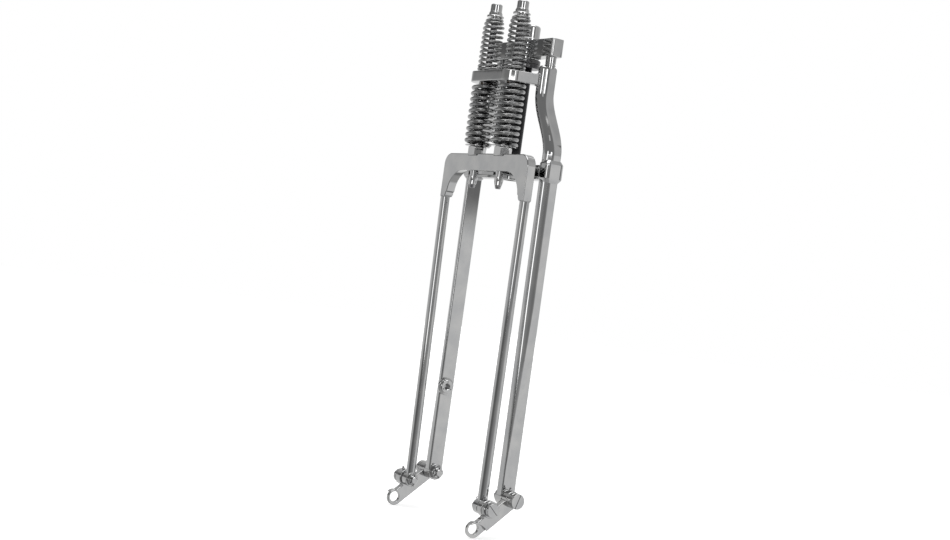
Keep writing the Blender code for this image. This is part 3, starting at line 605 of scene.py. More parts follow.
def crown_boss(sign):
    """Block round a rear leg, with a full round front and turned-down ends."""
    half, deep = BOSS_HALF
    outline = round_corners(rectangle((-half, -deep), (half, deep)), 0.0095, closed=True, steps=8)
    levels = [(BOSS_LOW, 0.70), (BOSS_LOW + 0.001, 0.74), (BOSS_LOW + 0.0062, 0.97),
              (BOSS_LOW + 0.0075, 1.0), (BOSS_HIGH - 0.0065, 1.0), (BOSS_HIGH - 0.0052, 0.98),
              (BOSS_HIGH - 0.001, 0.82), (BOSS_HIGH, 0.78)]
    return loft("boss", [[Vector((BOSS_X * sign + a * scale, BOSS_Y + b * scale, height))
                          for a, b in outline] for height, scale in levels])


def lower_crown():
    half, deep = CROWN_HALF
    crown = block((-half, -deep, CROWN_LOW), (half, deep, CROWN_HIGH))
    bevel(crown, 0.0012)
    base = CROWN_LOW - 0.002
    stem_boss = lathe("stem_boss", sleeve(0, STEM_BOSS_RADIUS, base, 0), soft=0.001)
    boolean(crown, [stem_boss], "UNION")
    boolean(crown, [crown_boss(sign) for sign in SIDES.values()], "UNION")
    tools = [bore(STEM_RADIUS + GAP, (0, 0, base), (0, 0, 0))]
    for sign in SIDES.values():
        ends = sorted((POCKET_IN * sign, POCKET_OUT * sign))
        for y_low, y_high in ((-POCKET_CUT, -POCKET_WEB), (POCKET_WEB, POCKET_CUT)):
            pocket = block((ends[0], y_low, CROWN_LOW + 0.0045), (ends[1], y_high, CROWN_HIGH - 0.0035))
            bevel(pocket, 0.002)
            tools.append(pocket)
        tools.append(leg_cutter(sign, BOSS_LOW - 0.01, BEND_START - 0.001))
    boolean(crown, tools)
    finish_piece(crown, "lower_crown")


def thread(radius, start, stop, pitch):
    """Outline of a thread, up to the first crest past stop."""
    points = []
    height = start
    while height < stop:
        points += [(radius - THREAD_DEPTH, height + pitch / 2), (radius, height + pitch)]
        height += pitch
    return points


def stem_parts():
    top = span("steering_stem", 2)[1]
    profile = [(STEM_BORE, CROWN_LOW), (STEM_RADIUS, CROWN_LOW), (STEM_RADIUS, STEM_THREAD_LOW)]
    profile += thread(STEM_RADIUS, STEM_THREAD_LOW, top - 0.003, 0.001)
    profile += [(STEM_RADIUS - 0.001, top), (STEM_BORE, top)]
    turned("steering_stem", profile, BLACK)
    low, high = span("bearing_adjuster", 2)
    wide = span("bearing_adjuster", 0)[1]
    hole = STEM_RADIUS + GAP
    groove = wide - 0.0012
    profile = [(hole, low), (wide - 0.0015, low), (wide, low + 0.0015), (wide, low + 0.006),
               (groove, low + 0.0066), (groove, low + 0.0076), (wide, low + 0.0082),
               (wide, high - 0.001), (wide - 0.001, high), (hole, high)]
    turned("bearing_adjuster", profile, DARK_STEEL_AND_SHADE, steps=96)
    low, high = span("stem_cap_nut", 2)
    wide = span("stem_cap_nut", 0)[1]
    inside = top + 0.0008
    neck, dome = wide - 0.001, 0.0045
    profile = [(hole, low), (wide, low), (wide, low + 0.0035), (neck, low + 0.0045),
               (neck, high - 0.005)]
    profile += arc((neck - dome, high - dome), dome, 0, 90, 8)
    profile += [(0, high), (0, inside), (hole, inside)]
    turned("stem_cap_nut", profile, steps=96)


def top_clamp():
    half = CLAMP_DEPTH / 2
    outline = rectangle((-CLAMP_HALF, -half), (CLAMP_HALF, half))
    outline = round_corners(outline, 0.0055, closed=True, steps=6)
    clamp = slab("clamp", outline, CLAMP_LOW, CLAMP_HIGH, "xy")
    bevel(clamp, 0.0011)
    boss_low, boss_high = span("top_clamp", 2)
    boss = lathe("boss", sleeve(0, CLAMP_BOSS_RADIUS, boss_low, boss_high), steps=72)
    boolean(clamp, [boss], "UNION")
    tools = [bore(STEM_RADIUS + GAP, (0, 0, boss_low), (0, 0, boss_high))]
    seat = CLAMP_HIGH - 0.009
    spigot_end = CLAMP_LOW + 0.01 + GAP
    under, over = CLAMP_LOW - 0.014, CLAMP_HIGH + 0.015
    collar, hole, sink = COLLAR_RADIUS + GAP, SCREW_RADIUS + GAP, SCREW_HEAD + GAP
    for side, sign in SIDES.items():
        at = (LEG_TOP_X * sign, 0, 0)
        stepped = [(0, under), (collar, under), (collar, spigot_end), (hole, spigot_end), (hole, seat),
                   (sink, seat), (sink, over), (0, over)]
        tools.append(lathe("stepped", stepped, at=at, steps=48))
        low, high = span(f"clamp_screw_{side}", 2)
        base = seat + GAP
        body = [(0, low), (SCREW_RADIUS, low), (SCREW_RADIUS, base), (SCREW_HEAD, base),
                (SCREW_HEAD, high - 0.0006), (SCREW_HEAD - 0.0006, high), (0, high)]
        item = lathe("screw", body, at=at, steps=48)
        boolean(item, [key_socket(0.006, (at[0], at[1], high), 0.004)])
        finish_piece(item, f"clamp_screw_{side}")
    boolean(clamp, tools)
    finish_piece(clamp, "top_clamp")


def key_socket(flats, at, depth):
    """Hexagonal cutter for a screw's key."""
    ring = arc(at[:2], hexagon(flats, 0), 0, 300, 5)
    return loft("socket", [[(*point, at[2] + rise) for point in ring] for rise in (-depth, 0.002)])


def spring_bridge():
    tip = LEG_TOP_Y + leg_front(BRIDGE_LOW)
    arm_end = tip + ARM_WRAP
    left = arc((BRIDGE_HALF - BRIDGE_CORNER, BRIDGE_FRONT + BRIDGE_CORNER), BRIDGE_CORNER, -90, 0, 18)
    left += [(ARM_OUT, arm_end), (ARM_IN + 0.008, arm_end)]
    left += [(ARM_IN + 0.002, arm_end - 0.008), (ARM_IN - 0.002, BRIDGE_BACK)]
    outline = left + [(-x, y) for x, y in reversed(left)]
    bridge = slab("bridge", outline, BRIDGE_LOW, BRIDGE_HIGH, "xy")
    bevel(bridge, 0.0014)
    tools = []
    for side, sign in SIDES.items():
        place = (ROD_X * sign, ROD_Y)
        tools.append(bore(0.01, (*place, BRIDGE_LOW), (*place, BRIDGE_HIGH)))
        low, high = span(f"guide_bushing_{side}", 2)
        turned(f"guide_bushing_{side}", sleeve(ROD_RADIUS + 0.0004, 0.0097, low, high), BRONZE,
               at=(*place, 0), soft=0.0005)
        arm_weld(side, sign, tip)
        tools.append(leg_cutter(sign, BRIDGE_LOW - 0.01, BRIDGE_HIGH + 0.01))
    boolean(bridge, tools)
    finish_piece(bridge, "spring_bridge")


def arm_weld(side, sign, face):
    """Bead round the end of a bridge arm, where it meets the rear leg."""
    inset, y = 0.0006, face - 0.0002
    near, far = ARM_IN + 0.012, ARM_OUT - inset
    corners = [(near, BRIDGE_HIGH), (far, BRIDGE_HIGH), (far, BRIDGE_LOW), (near, BRIDGE_LOW)]
    line = round_corners(corners, 0.003, steps=6)
    path = []
    for start, end in zip(line, line[1:]):
        length = (Vector(end) - Vector(start)).length
        steps = max(1, round(length / 0.0004))
        for i in range(steps):
            x, z = Vector(start).lerp(Vector(end), i / steps)
            path.append(Vector((x * sign, y, z)))
    bead(f"arm_weld_{side}", path, 0.0017, 4.5, "frame")


def brake_anchor():
    low, high = span("brake_anchor_boss", 0)
    depth = high - low
    place = centre_yz("brake_anchor_boss")
    profile = [(0.005, 0), (0.016, 0), (0.016, 0.0028), (0.015, 0.0036), (0.0135, 0.0038),
               (0.0132, 0.005), (0.012, 0.0052), (0.012, depth - 0.0007), (0.0113, depth),
               (0.0062, depth), (0.005, depth - 0.0012)]
    boss = lathe("boss", profile, at=(low, *place), axis=(1, 0, 0), steps=72)
    boolean(boss, [rod(0.0012, (high - 0.0025, *spot), (high + 0.001, *spot), steps=20)
                   for spot in arc(place, 0.0088, 90, 330, 2)])
    finish_piece(boss, "brake_anchor_boss")


# ---- front assembly
def tube_line(sign, height):
    """Point on the centre line of a front tube."""
    part = (height - FRONT_PIVOT[1]) / (YOKE_LOW - FRONT_PIVOT[1])
    return Vector(((TUBE_LOW_X + (TUBE_TOP_X - TUBE_LOW_X) * part) * sign,
                   TUBE_LOW_Y + (TUBE_TOP_Y - TUBE_LOW_Y) * part, height))


def yoke():
    half = [(YOKE_HALF, YOKE_LOW)]
    half += arc((YOKE_HALF - YOKE_CORNER, YOKE_TOP - YOKE_CORNER), YOKE_CORNER, 0, 90, 14)
    inner = arc((ARCH_HALF - ARCH_RADIUS, ARCH_TOP - ARCH_RADIUS), ARCH_RADIUS, 90, 8, 18)
    foot = TUBE_TOP_X - TUBE_RADIUS
    inner += [(foot - 0.0035, YOKE_LOW + 0.008), (foot - 0.003, YOKE_LOW + 0.005)]
    inner += [(foot - 0.0008, YOKE_LOW + 0.0015), (foot, YOKE_LOW)]
    outline = half + [(-x, z) for x, z in reversed(half)]
    outline += [(-x, z) for x, z in reversed(inner)] + inner
    low = FRONT_Y - YOKE_THICK / 2
    plate = slab("yoke", outline, low, low + YOKE_THICK, "xz")
    bevel(plate, 0.0022, segments=4)
    spigots = [rod(0.006, tube_line(sign, YOKE_LOW + 0.006), tube_line(sign, YOKE_LOW - 0.025), steps=32)
               for sign in SIDES.values()]
    boolean(plate, spigots, "UNION")
    tools = []
    for sign in SIDES.values():
        wide, hole, reach = 0.0172, ROD_RADIUS + GAP, 0.05
        stepped = [(0, -reach), (hole, -reach), (hole, SEAT_FACE), (wide, SEAT_FACE),
                   (wide, reach), (0, reach)]
        tools.append(lathe("seat", stepped, at=(ROD_X * sign, ROD_Y, 0), steps=72))
    boolean(plate, tools)
    finish_piece(plate, "yoke")


def front_leg(side, sign):
    tube = rod(TUBE_RADIUS, tube_line(sign, FRONT_PIVOT[1]), tube_line(sign, YOKE_LOW - 0.0004), steps=72)
    low, high = FRONT_PIVOT[1] - FLAT_REACH, FRONT_PIVOT[1] + FLAT_HEIGHT
    flats = []
    for way in (-1, 1):
        face, away = [(LEG_X + way * reach) * sign for reach in (EYE_HALF["front"], 0.03)]
        outline = [(face, low), (away, low), (away, high + FLAT_SLOPE), (face, high - 0.0001)]
        ends = FRONT_PIVOT[0] - FLAT_REACH, FRONT_PIVOT[0] + FLAT_REACH
        flats.append(slab("flat", outline, *ends, "xz"))
    boolean(tube, flats)
    disc, pin = leg_eye("front", sign, TUBE_EYE_RADIUS, 0.0011)
    boolean(tube, [disc], "UNION")
    spigot = rod(0.0063, tube_line(sign, YOKE_LOW - 0.032), tube_line(sign, YOKE_LOW + 0.01), steps=32)
    out = Vector((-sign, 0, 0))
    vent = tube_line(sign, VENT_HEIGHT)
    ends = [vent + out * (TUBE_RADIUS + reach) for reach in (-0.0015, 0.002)]
    hole = rod(VENT_RADIUS, *ends, steps=24)
    boolean(tube, [pin, spigot, hole])
    finish_piece(tube, f"front_leg_{side}")
    ring = arc(tube_line(sign, YOKE_LOW), TUBE_RADIUS - 0.0002, 0, 360, 96)
    path = [Vector((*point, YOKE_LOW)) for point in ring]
    bead(f"yoke_braze_{side}", path, 0.0009, 5, "front_assembly")


def rod_parts(side, sign):
    """Spring rod with its nuts, seat and collars."""
    at = (ROD_X * sign, ROD_Y, 0)
    hole = ROD_RADIUS + GAP
    low, high = span(f"spring_rod_{side}", 2)
    thread_low = high - 0.03
    profile = [(0, low), (0.004, low), (0.0046, low + 0.0006), (ROD_RADIUS, low + 0.006),
               (ROD_RADIUS, thread_low)]
    profile += thread(ROD_RADIUS, thread_low, high - 0.002, 0.00125)
    profile += [(ROD_RADIUS - 0.001, high), (0, high)]
    turned(f"spring_rod_{side}", profile, ZINC, at=at, steps=48)
    low, high = span(f"rod_lock_nut_{side}", 2)
    profile = [(hole, high), (hole, low), (0.0063, low), (0.0066, low + 0.001), (0.0079, low + 0.0082),
               (0.0081, low + 0.01), (0.0081, low + 0.013), (0.0074, low + 0.014),
               (0.0066, low + 0.0143), (0.0066, high - 0.003), (0.007, high - 0.0026), (0.007, high)]
    nut = lathe("lock_nut", profile, at=at, steps=64)
    six_cuts(nut, (0.0064, -0.001, low - 0.001), (0.01, 0.001, low + 0.007),
             Matrix.Translation(at), start=20)
    finish_piece(nut, f"rod_lock_nut_{side}")
    low, high = span(f"seat_nut_{side}", 2)
    nut = bored_loft("seat_nut", hex_levels(SEAT_NUT_FLATS, low, high), hole, at, turn=12)
    finish_piece(nut, f"seat_nut_{side}")
    low, high = span(f"spring_seat_{side}", 2)
    profile = [(hole, low), (0.0214, low), (0.022, low + 0.0006), (0.022, high - 0.0004),
               (0.0216, high), (hole, high)]
    turned(f"spring_seat_{side}", profile, at=at, steps=72)
    low, high = span(f"rebound_collar_{side}", 2)
    face = low + 0.007
    profile = [(hole, low), (0.0082, low), (0.0085, low + 0.0004), (0.0085, face), (0.0148, face),
               (0.0152, face + 0.0006), (0.0152, face + 0.0026), (0.0147, face + 0.0032),
               (0.0128, face + 0.0034), (0.0122, face + 0.004), (0.012, high), (hole, high)]
    turned(f"rebound_collar_{side}", profile, at=at, steps=72)
    low, high = span(f"rod_cap_nut_{side}", 2)
    inside = span(f"spring_rod_{side}", 2)[1] + 0.0008
    body, dome = 0.0103, 0.0024
    profile = [(hole, low), (0.0106, low), (0.011, low + 0.0005), (0.011, low + 0.0018),
               (0.0104, low + 0.0024), (body, high - 0.0026)]
    profile += arc((body - dome, high - dome), dome, 0, 90, 6)
    profile += [(0.0062, high), (0.0058, high - 0.0006), (0, high - 0.0006), (0, inside), (hole, inside)]
    turned(f"rod_cap_nut_{side}", profile, at=at, steps=72)


def springs(side, sign):
    """The six springs stand on the bridge at one end and reach the rods at the other; they ride on no
    body.
    """
    at = (ROD_X * sign, ROD_Y)

    def taper(part):
        return 0.017 - 0.0045 * share_of(part, TAPER_START, 1.0)

    # Kind, turns, wire radius, coil radius by share of the length, closed turns at each end
    kinds = (
        ("main_spring", 10.5, 0.0034, lambda t: 0.02125, 0.5),
        ("inner_spring", 13.5, 0.0019, lambda t: 0.0112, 0.75),
        ("rebound_spring", 12.5, 0.0024, taper, 1.6),
    )
    for kind, turns, wire, radius_of, closed in kinds:
        node = f"{kind}_{side}"
        low, high = span(node, 2)
        item = coil(kind, at, low, high, turns, wire, radius_of, closed)
        # Darker spring materials as painted shade: the inner springs get the dark steel, the others the
        # darkened spring chrome.
        material = DARK_STEEL_AND_SHADE if kind == "inner_spring" else SPRING_CHROME_SHADED
        finish_piece(item, node, material, rides=False, sharp=60)
        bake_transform(item)


# ---- rockers and pivots
def rocker_outline():
    """Bar with a round end at the axle, a lobe round the front pivot and a round end at the rear one."""
    axle, rear, front = Vector(AXLE), Vector(REAR_PIVOT), Vector(FRONT_PIVOT)
    along = (rear - axle).normalized()
    up = Vector((-along.y, along.x))
    heading = degrees(atan2(along.y, along.x))
    outline = []
    ends = ((axle - up * EYE_DROP, AXLE_EYE_RADIUS), (front, LOBE_RADIUS), (rear, END_RADIUS))
    for centre, radius in ends:
        rise = degrees(asin((BAR_TOP - (centre - axle).dot(up)) / radius))
        start = 270 if centre.x < front.x else 180 - rise
        stop = -90 if centre is rear else rise
        outline += arc(centre, radius, heading + start, heading + stop, 30)
    return outline


def rocker(side, sign):
    ends = sorted((ROCKER_IN * sign, ROCKER_OUT * sign))
    plate = slab("rocker", rocker_outline(), ends[0], ends[1], "yz")
    bevel(plate, 0.0014, segments=3, angle=50)
    bushing = {"rear": REAR_PIVOT, "front": (FRONT_PIVOT[0] + BUSHING_SHIFT, FRONT_PIVOT[1])}
    hubs = []
    base = ROCKER_IN + 0.002
    height = HUB_OUT - base
    for part, place in bushing.items():
        radius = HUB_RADIUS[part]
        groove = radius - 0.0009
        profile = [(0, 0), (radius, 0), (radius, height - 0.0045), (groove, height - 0.004),
                   (groove, height - 0.003), (radius, height - 0.0025), (radius, height - 0.0006),
                   (radius - 0.0006, height), (0, height)]
        hubs.append(lathe("hub", profile, at=(base * sign, *place), axis=(sign, 0, 0), steps=72))
    boolean(plate, hubs, "UNION")
    recess = (AXLE[0] + RECESS_SHIFT[0], AXLE[1] + RECESS_SHIFT[1])
    floor = ROCKER_OUT - RECESS_DEPTH
    profile = [(0, 0), (RECESS_RADIUS - 0.0012, 0), (RECESS_RADIUS - 0.0004, 0.0004),
               (RECESS_RADIUS, 0.0012), (RECESS_RADIUS, 0.01), (0, 0.01)]
    cutter = lathe("recess", profile, at=(floor * sign, *recess), axis=(sign, 0, 0), steps=120)
    boolean(plate, [cutter])
    tools = [bore(AXLE_RADIUS, (ROCKER_IN * sign, *AXLE), (floor * sign, *AXLE), steps=72)]
    for part, place in bushing.items():
        ends = [(x * sign, *place) for x in (ROCKER_IN, HUB_OUT)]
        tools.append(bore(BUSHING_RADIUS[part] + GAP, *ends))
    boolean(plate, tools)
    finish_piece(plate, f"rocker_{side}")
    for part, place in bushing.items():
        inner = STUD_RADIUS + (GAP if part == "rear" else 0.0026)
        length = HUB_OUT - ROCKER_IN - 2 * GAP
        turned(f"{part}_bushing_{side}", sleeve(inner, BUSHING_RADIUS[part], 0, length), BRONZE,
               at=((ROCKER_IN + GAP) * sign, *place), axis=(sign, 0, 0), soft=0.0004)


def pivot_stud(part, side, sign):
    """Slotted stud with its washer, castle nut and split pin."""
    place = PIVOTS[part]
    radius = HEAD_RADIUS[part]
    eye_in, eye_out = LEG_X - EYE_HALF[part], LEG_X + EYE_HALF[part]
    end = eye_in - NUT_HEIGHT[part] - STUD_END
    head, neck = HEAD_OUT - end, HUB_OUT + GAP - end
    groove, rim = radius - 0.0007, 0.0009
    profile = [(0, 0), (STUD_RADIUS - 0.0012, 0), (STUD_RADIUS, 0.0012), (STUD_RADIUS, neck),
               (radius - 0.0004, neck), (radius, neck + 0.0004), (radius, neck + 0.0022),
               (groove, neck + 0.0026), (groove, neck + 0.0032), (radius, neck + 0.0036),
               (radius, head - rim)]
    profile += arc((radius - rim, head - rim), rim, 15, 90, 4)
    profile += [(0, head)]
    stud = lathe("stud", profile, at=(end * sign, *place), axis=(sign, 0, 0), steps=72)
    bounds = sorted(((HEAD_OUT - 0.0022) * sign, (HEAD_OUT + 0.01) * sign))
    slot = block((bounds[0], -0.02, -0.0009), (bounds[1], 0.02, 0.0009))
    turn = Matrix.Rotation(radians(SLOT_TURN[part]), 4, "X")
    slot.data.transform(Matrix.Translation((0, *place)) @ turn)
    pin_x = (end + STUD_END + NUT_SLOT_DEPTH / 2) * sign
    ends = [(pin_x, place[0], place[1] + reach) for reach in (-0.02, 0.02)]
    pin_hole = rod(COTTER_RADIUS + GAP, *ends, steps=24)
    boolean(stud, [slot, pin_hole])
    finish_piece(stud, f"{part}_stud_{side}")
    castle_nut(part, side, sign, (eye_in - GAP) * sign)
    split_pin(part, side, pin_x, place)
    washer = ROCKER_IN - eye_out - 2 * GAP
    turned(f"{part}_washer_{side}", sleeve(STUD_RADIUS + GAP, WASHER_RADIUS, 0, washer), ZINC,
           at=((eye_out + GAP) * sign, *place), axis=(sign, 0, 0), soft=0.0005)


def castle_nut(part, side, sign, face):
    flats, height = NUT_FLATS[part], NUT_HEIGHT[part]
    floor = height - NUT_SLOT_DEPTH
    crown = flats * 0.455
    levels = hex_levels(flats, 0, floor, chamfer=0.0012)
    levels += [(floor + 0.0002, crown), (height - 0.0006, crown), (height, crown - 0.0006)]
    at = (face, *PIVOTS[part])
    nut = bored_loft("nut", levels, STUD_RADIUS + GAP, at, axis=(-sign, 0, 0), turn=30)
    six_cuts(nut, (0.0055, -NUT_SLOT_HALF, floor), (0.014, NUT_SLOT_HALF, height + 0.001),
             Matrix.Translation(at) @ axis_turn((-sign, 0, 0)))
    finish_piece(nut, f"{part}_castle_nut_{side}")


def split_pin(part, side, x, place):
    """Bent wire with an eye above the nut and two spread ends below it."""
    node = f"{part}_cotter_{side}"
    low, high = span(node, 2)
    wire = COTTER_RADIUS * 0.5
    eye = 0.0019
    top = high - eye - wire
    leg = [(0.0022, low + 0.0012), (0.0011, low + 0.0018), (wire, low + 0.0035), (wire, place[1]),
           (wire, top - eye - 0.0004)]
    loop = arc((0, top), eye, -65, 245, 16)
    path = leg + loop + [(-a, z) for a, z in reversed(leg)]
    points = [Vector((x, place[0] + a, z)) for a, z in path]
    out = Vector((1, 0, 0))
    rings = []
    for i, point in enumerate(points):
        along = (points[min(len(points) - 1, i + 1)] - points[max(0, i - 1)]).normalized()
        rings.append(ring_about(point, out * 1.6, along.cross(out), wire * 0.95))
    finish_piece(loft("pin", rings), node, ZINC, sharp=60)


def grease_fitting(part, side, sign, radius, turn):
    node = f"{part}_grease_fitting_{side}"
    place = PIVOTS[part]
    heading = (0, cos(radians(turn)), sin(radians(turn)))
    start = Vector(((ROCKER_IN + ROCKER_OUT) / 2 * sign, *place)) + Vector(heading) * (radius + GAP)
    flats = 0.0052
    levels = [(0, flats, flats), (0.002, flats, flats), (0.0023, 0.0024), (0.0027, 0.0018),
              (0.0033, 0.0017), (0.004, 0.0021), (0.0047, 0.0022), (0.0055, 0.0016), (0.0062, 0.0009)]
    item = bored_loft("fitting", levels, 0.0004, start, axis=heading, steps=36)
    finish_piece(item, node, ZINC)


# ---- light, floor and camera
AZIMUTH, ROLL = radians(57.5), radians(7.9)
SENSOR_WIDTH = 36
LENS = 57.0316                      # mm
SIDE_SHIFT = -0.000842
DISTANCE = 2.634
AIM = Vector((0, -0.0443, -0.197))
BACK = Vector((sin(AZIMUTH), -cos(AZIMUTH), 0))
RIGHT = Vector((cos(AZIMUTH), sin(AZIMUTH), 0))


def camera():
    """Level camera, turned about its own axis so that the fork leans."""
    up = Vector((0, 0, 1))
    across = RIGHT * cos(ROLL) + up * sin(ROLL)
    along = up * cos(ROLL) - RIGHT * sin(ROLL)
    data = bpy.data.cameras.new("camera")
    data.sensor_width = SENSOR_WIDTH
    data.lens = LENS
    data.shift_x = SIDE_SHIFT
    item = bpy.data.objects.new("camera", data)
    bpy.context.scene.collection.objects.link(item)
    turn = Matrix((across, along, BACK)).transposed().to_4x4()
    item.matrix_world = Matrix.Translation(AIM + BACK * DISTANCE) @ turn
    bpy.context.scene.camera = item


def feed(tree, sockets, values):
    """Set sockets to numbers, or link them to the outputs of other nodes."""
    for socket, value in zip(sockets, values):
        if isinstance(value, (int, float)):
            socket.default_value = value
        else:
            tree.links.new(value, socket)


def node_math(tree, operation, *values):
    step = tree.nodes.new("ShaderNodeMath")
    step.operation = operation
    feed(tree, step.inputs, values)
    return step.outputs[0]


def coordinates(tree, kind):
    where = tree.nodes.new("ShaderNodeTexCoord")
    split = tree.nodes.new("ShaderNodeSeparateXYZ")
    tree.links.new(where.outputs[kind], split.inputs["Vector"])
    return split.outputs


def brightness_ramp(tree, source, stops):
    """Grey level by an angle from -180 to 180 degrees, through listed stops."""
    ramp = tree.nodes.new("ShaderNodeValToRGB")
    elements = ramp.color_ramp.elements
    while len(elements) > 1:
        elements.remove(elements[-1])
    peak = max(value for _, value in stops)
    for i, (angle, value) in enumerate(stops):
        place = (angle + 180) / 360
        element = elements[0] if i == 0 else elements.new(place)
        element.position = place
        element.color = (value / peak,) * 3 + (1,)
    share = node_math(tree, "DIVIDE", node_math(tree, "ADD", source, 180), 360)
    tree.links.new(share, ramp.inputs["Fac"])
    return node_math(tree, "MULTIPLY", ramp.outputs["Color"], peak)


def blend_by(tree, source, low, high, first, second):
    """First value below low, second above high, smooth between."""
    share = tree.nodes.new("ShaderNodeMapRange")
    share.interpolation_type = "SMOOTHSTEP"
    set_inputs(share, {"From Min": low, "From Max": high})
    tree.links.new(source, share.inputs["Value"])
    mix = tree.nodes.new("ShaderNodeMix")
    tree.links.new(share.outputs["Result"], mix.inputs["Factor"])
    feed(tree, mix.inputs[2:4], (first, second))
    return mix.outputs[0]


def window(tree, azimuth, height, left, right, low, high, soft):
    """One inside an angular rectangle, zero outside it."""
    total = 1.0
    for source, edge, reach, start in ((azimuth, left, soft, 0.0), (azimuth, right, soft, 1.0),
                                       (height, low, soft / 4, 0.0), (height, high, soft, 1.0)):
        step = blend_by(tree, source, edge - reach, edge + reach, start, 1.0 - start)
        total = node_math(tree, "MULTIPLY", total, step)
    return total


# Brightness of the studio round the fork, by degrees from the camera, in three zones.
WALLS_LOW = [(-180, 0.80), (-130, 0.66), (-115, 0.60), (-100, 0.62), (-78, 0.60), (-64, 0.30),
             (-54, 0.13), (-24, 0.15), (0, 0.26), (23, 0.30), (45, 0.42), (56, 0.45),
             (61, 0.72), (72, 0.72), (106, 0.70), (180, 0.80)]
WALLS_MID = [(-180, 0.80), (-140, 0.72), (-122, 0.60), (-108, 0.58), (-97, 0.66), (-85, 0.60),
             (-66, 0.42), (-40, 0.30), (-25, 0.42), (-22, 2.20), (-13, 2.20), (-9, 0.45),
             (5, 0.32), (30, 0.26), (45, 0.22), (56, 0.30), (61, 0.72), (70, 0.72),
             (85, 0.55), (100, 0.62), (130, 0.72), (180, 0.80)]
WALLS_HIGH = [(-180, 0.70), (-122, 0.32), (-108, 0.25), (-90, 0.30), (-60, 0.22), (55, 0.22), (61, 0.50),
              (75, 0.50), (90, 0.45), (130, 0.60), (180, 0.70)]
# Heights in degrees between which one zone blends into the next.
FOOT_TO_LOW = (-50, -40)
LOW_TO_MID = (-3.2, -2.2)
MID_TO_HIGH = (5.0, 7.0)
HIGH_TO_TOP = (58, 63)
FOOT_LEVEL = 0.40
TOP_LEVEL = 2.4
# Windows: left, right, low and high edge and softness, in degrees.
ARCH_OUTSIDE = (-20, 40, 5.8, 14, 1.5)
ARCH_INSIDE = (-8, 27, 7.0, 16, 1.5)
ARCH_LEVEL = 2.6
CLAMP_WINDOW = (-128, -98, 8.0, 22, 0.6)
CLAMP_SHADE = 0.17
SHADE_CARD_PLACE = (0.352, 0.295, 0.04)
SHADE_CARD_TURN = 32.5
SHADE_CARD_SIZE = (0.13, 0.42)
SHADE_CARD_FADE = (-0.42, -0.17)
SHADE_CARD_LEVELS = (0.72, 0.20)
ARM_CARD_REACH = 0.16
ARM_CARD_SIZE = (0.045, 0.045)
ARM_CARD_LEVEL = 0.62
SHELL_RADIUS = 9.0
FLOOR_LEVEL, FLOOR_ALBEDO = 0.62, 0.75
FLOOR_GAP = 0.0005


def along_axis(tree, x, y, axis):
    """How far a direction points along a level axis."""
    return node_math(tree, "ADD", node_math(tree, "MULTIPLY", x, axis.x),
                     node_math(tree, "MULTIPLY", y, axis.y))


def studio():
    """Grey studio with a slim light by the camera, an arched one above it and a bright ceiling."""
    world = bpy.data.worlds.new("studio")
    bpy.context.scene.world = world
    world.use_nodes = True
    tree = world.node_tree
    x, y, z = coordinates(tree, "Generated")
    ahead, aside = [along_axis(tree, x, y, axis) for axis in (BACK, RIGHT)]
    azimuth = node_math(tree, "DEGREES", node_math(tree, "ARCTAN2", aside, ahead))
    height = node_math(tree, "DEGREES", node_math(tree, "ARCSINE", z))
    low, middle, high = [brightness_ramp(tree, azimuth, stops)
                         for stops in (WALLS_LOW, WALLS_MID, WALLS_HIGH)]
    level = blend_by(tree, height, *LOW_TO_MID, low, middle)
    level = blend_by(tree, height, *MID_TO_HIGH, level, high)
    level = blend_by(tree, height, *HIGH_TO_TOP, level, TOP_LEVEL)
    level = blend_by(tree, height, *FOOT_TO_LOW, FOOT_LEVEL, level)
    outer = window(tree, azimuth, height, *ARCH_OUTSIDE)
    inner = window(tree, azimuth, height, *ARCH_INSIDE)
    arch = node_math(tree, "MULTIPLY", outer, node_math(tree, "SUBTRACT", 1.0, inner))
    level = node_math(tree, "ADD", level, node_math(tree, "MULTIPLY", arch, ARCH_LEVEL))
    shade = window(tree, azimuth, height, *CLAMP_WINDOW)
    level = node_math(tree, "SUBTRACT", level, node_math(tree, "MULTIPLY", shade, CLAMP_SHADE))
    tree.links.new(level, tree.nodes["Background"].inputs["Strength"])
    tree.nodes["Background"].inputs["Color"].default_value = (1, 1, 1, 1)


def glow_material(name, level, albedo=0.0):
    material = bpy.data.materials.new(name)
    material.use_nodes = True
    set_inputs(material.node_tree.nodes["Principled BSDF"], {
        "Base Color": (albedo,) * 3 + (1,),
        "Roughness": 0.9,
        "Specular IOR Level": 0.0,
        "Emission Color": (1, 1, 1, 1),
        "Emission Strength": level,
    })
    return material


def card(name, place, turn, size, material):
    """Card that is seen only in the metal's reflections."""
    shape = bmesh.new()
    bmesh.ops.create_grid(shape, x_segments=1, y_segments=1, size=0.5)
    item = add_object(name, shape)
    item.matrix_world = Matrix.Translation(place) @ turn @ Matrix.Diagonal((*size, 1, 1))
    item.data.materials.append(material)
    item.visible_camera = False
    item.visible_diffuse = False
    item.visible_shadow = False


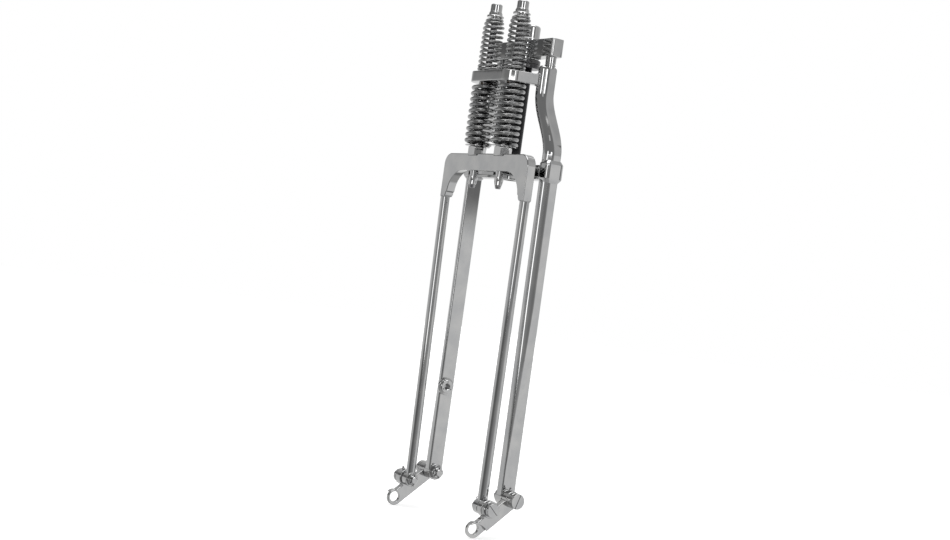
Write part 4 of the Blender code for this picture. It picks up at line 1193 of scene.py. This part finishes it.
def shade_card():
    """Card that darkens the upper part of the far leg's inner face towards the crown."""
    turn = Matrix.Rotation(radians(SHADE_CARD_TURN), 4, "Z")
    for axis in ("Y", "Z"):
        turn = turn @ Matrix.Rotation(radians(90), 4, axis)
    material = glow_material("card_grey", 1.0)
    tree = material.node_tree
    upright = coordinates(tree, "Object")["Y"]
    level = blend_by(tree, upright, *SHADE_CARD_FADE, *SHADE_CARD_LEVELS)
    tree.links.new(level, tree.nodes["Principled BSDF"].inputs["Emission Strength"])
    card("shade_card", SHADE_CARD_PLACE, turn, SHADE_CARD_SIZE, material)


def arm_card():
    """Card that keeps the outer face of the bridge's near arm an even grey."""
    height = (BRIDGE_LOW + BRIDGE_HIGH) / 2
    front = Vector((BRIDGE_HALF, BRIDGE_FRONT + BRIDGE_CORNER, height))
    rear = Vector((ARM_OUT, LEG_TOP_Y + leg_front(BRIDGE_LOW) + ARM_WRAP, height))
    along = (rear - front).normalized()
    facing = Vector((along.y, -along.x, 0))
    middle = (front + rear) / 2
    look = (middle - AIM - BACK * DISTANCE).normalized()
    away = look - facing * 2 * look.dot(facing)
    turn = away.to_track_quat("Z", "Y").to_matrix().to_4x4()
    card("arm_card", middle + away * ARM_CARD_REACH, turn, ARM_CARD_SIZE,
         glow_material("arm_card_grey", ARM_CARD_LEVEL))


def backdrop(ground):
    """White shell seen only by the camera, and a pale floor under the fork."""
    shape = bmesh.new()
    bmesh.ops.create_uvsphere(shape, u_segments=48, v_segments=24, radius=SHELL_RADIUS)
    shell = add_object("shell", shape)
    shell.data.materials.append(glow_material("shell_white", 1.0))
    shape = bmesh.new()
    bmesh.ops.create_circle(shape, cap_ends=True, segments=96, radius=SHELL_RADIUS - 0.1)
    floor = add_object("floor", shape)
    floor.location.z = ground
    floor.data.materials.append(glow_material("floor_pale", FLOOR_LEVEL, FLOOR_ALBEDO))
    for item in (shell, floor):
        item.visible_glossy = False
        item.visible_shadow = False
    shell.visible_diffuse = False


# ---- build
lower_crown()
stem_parts()
top_clamp()
spring_bridge()
brake_anchor()
yoke()
for side_name, side_sign in SIDES.items():
    for build in (rear_leg, front_leg, rod_parts, springs, rocker):
        build(side_name, side_sign)
    for part_name in PIVOTS:
        pivot_stud(part_name, side_name, side_sign)
    grease_fitting("rear", side_name, side_sign, END_RADIUS, 100)
    grease_fitting("front", side_name, side_sign, LOBE_RADIUS, 110)

camera()
studio()
backdrop(CAD_BOUNDS[0][2] - FLOOR_GAP)
shade_card()
arm_card()
bpy.context.scene.view_settings.view_transform = "Standard"
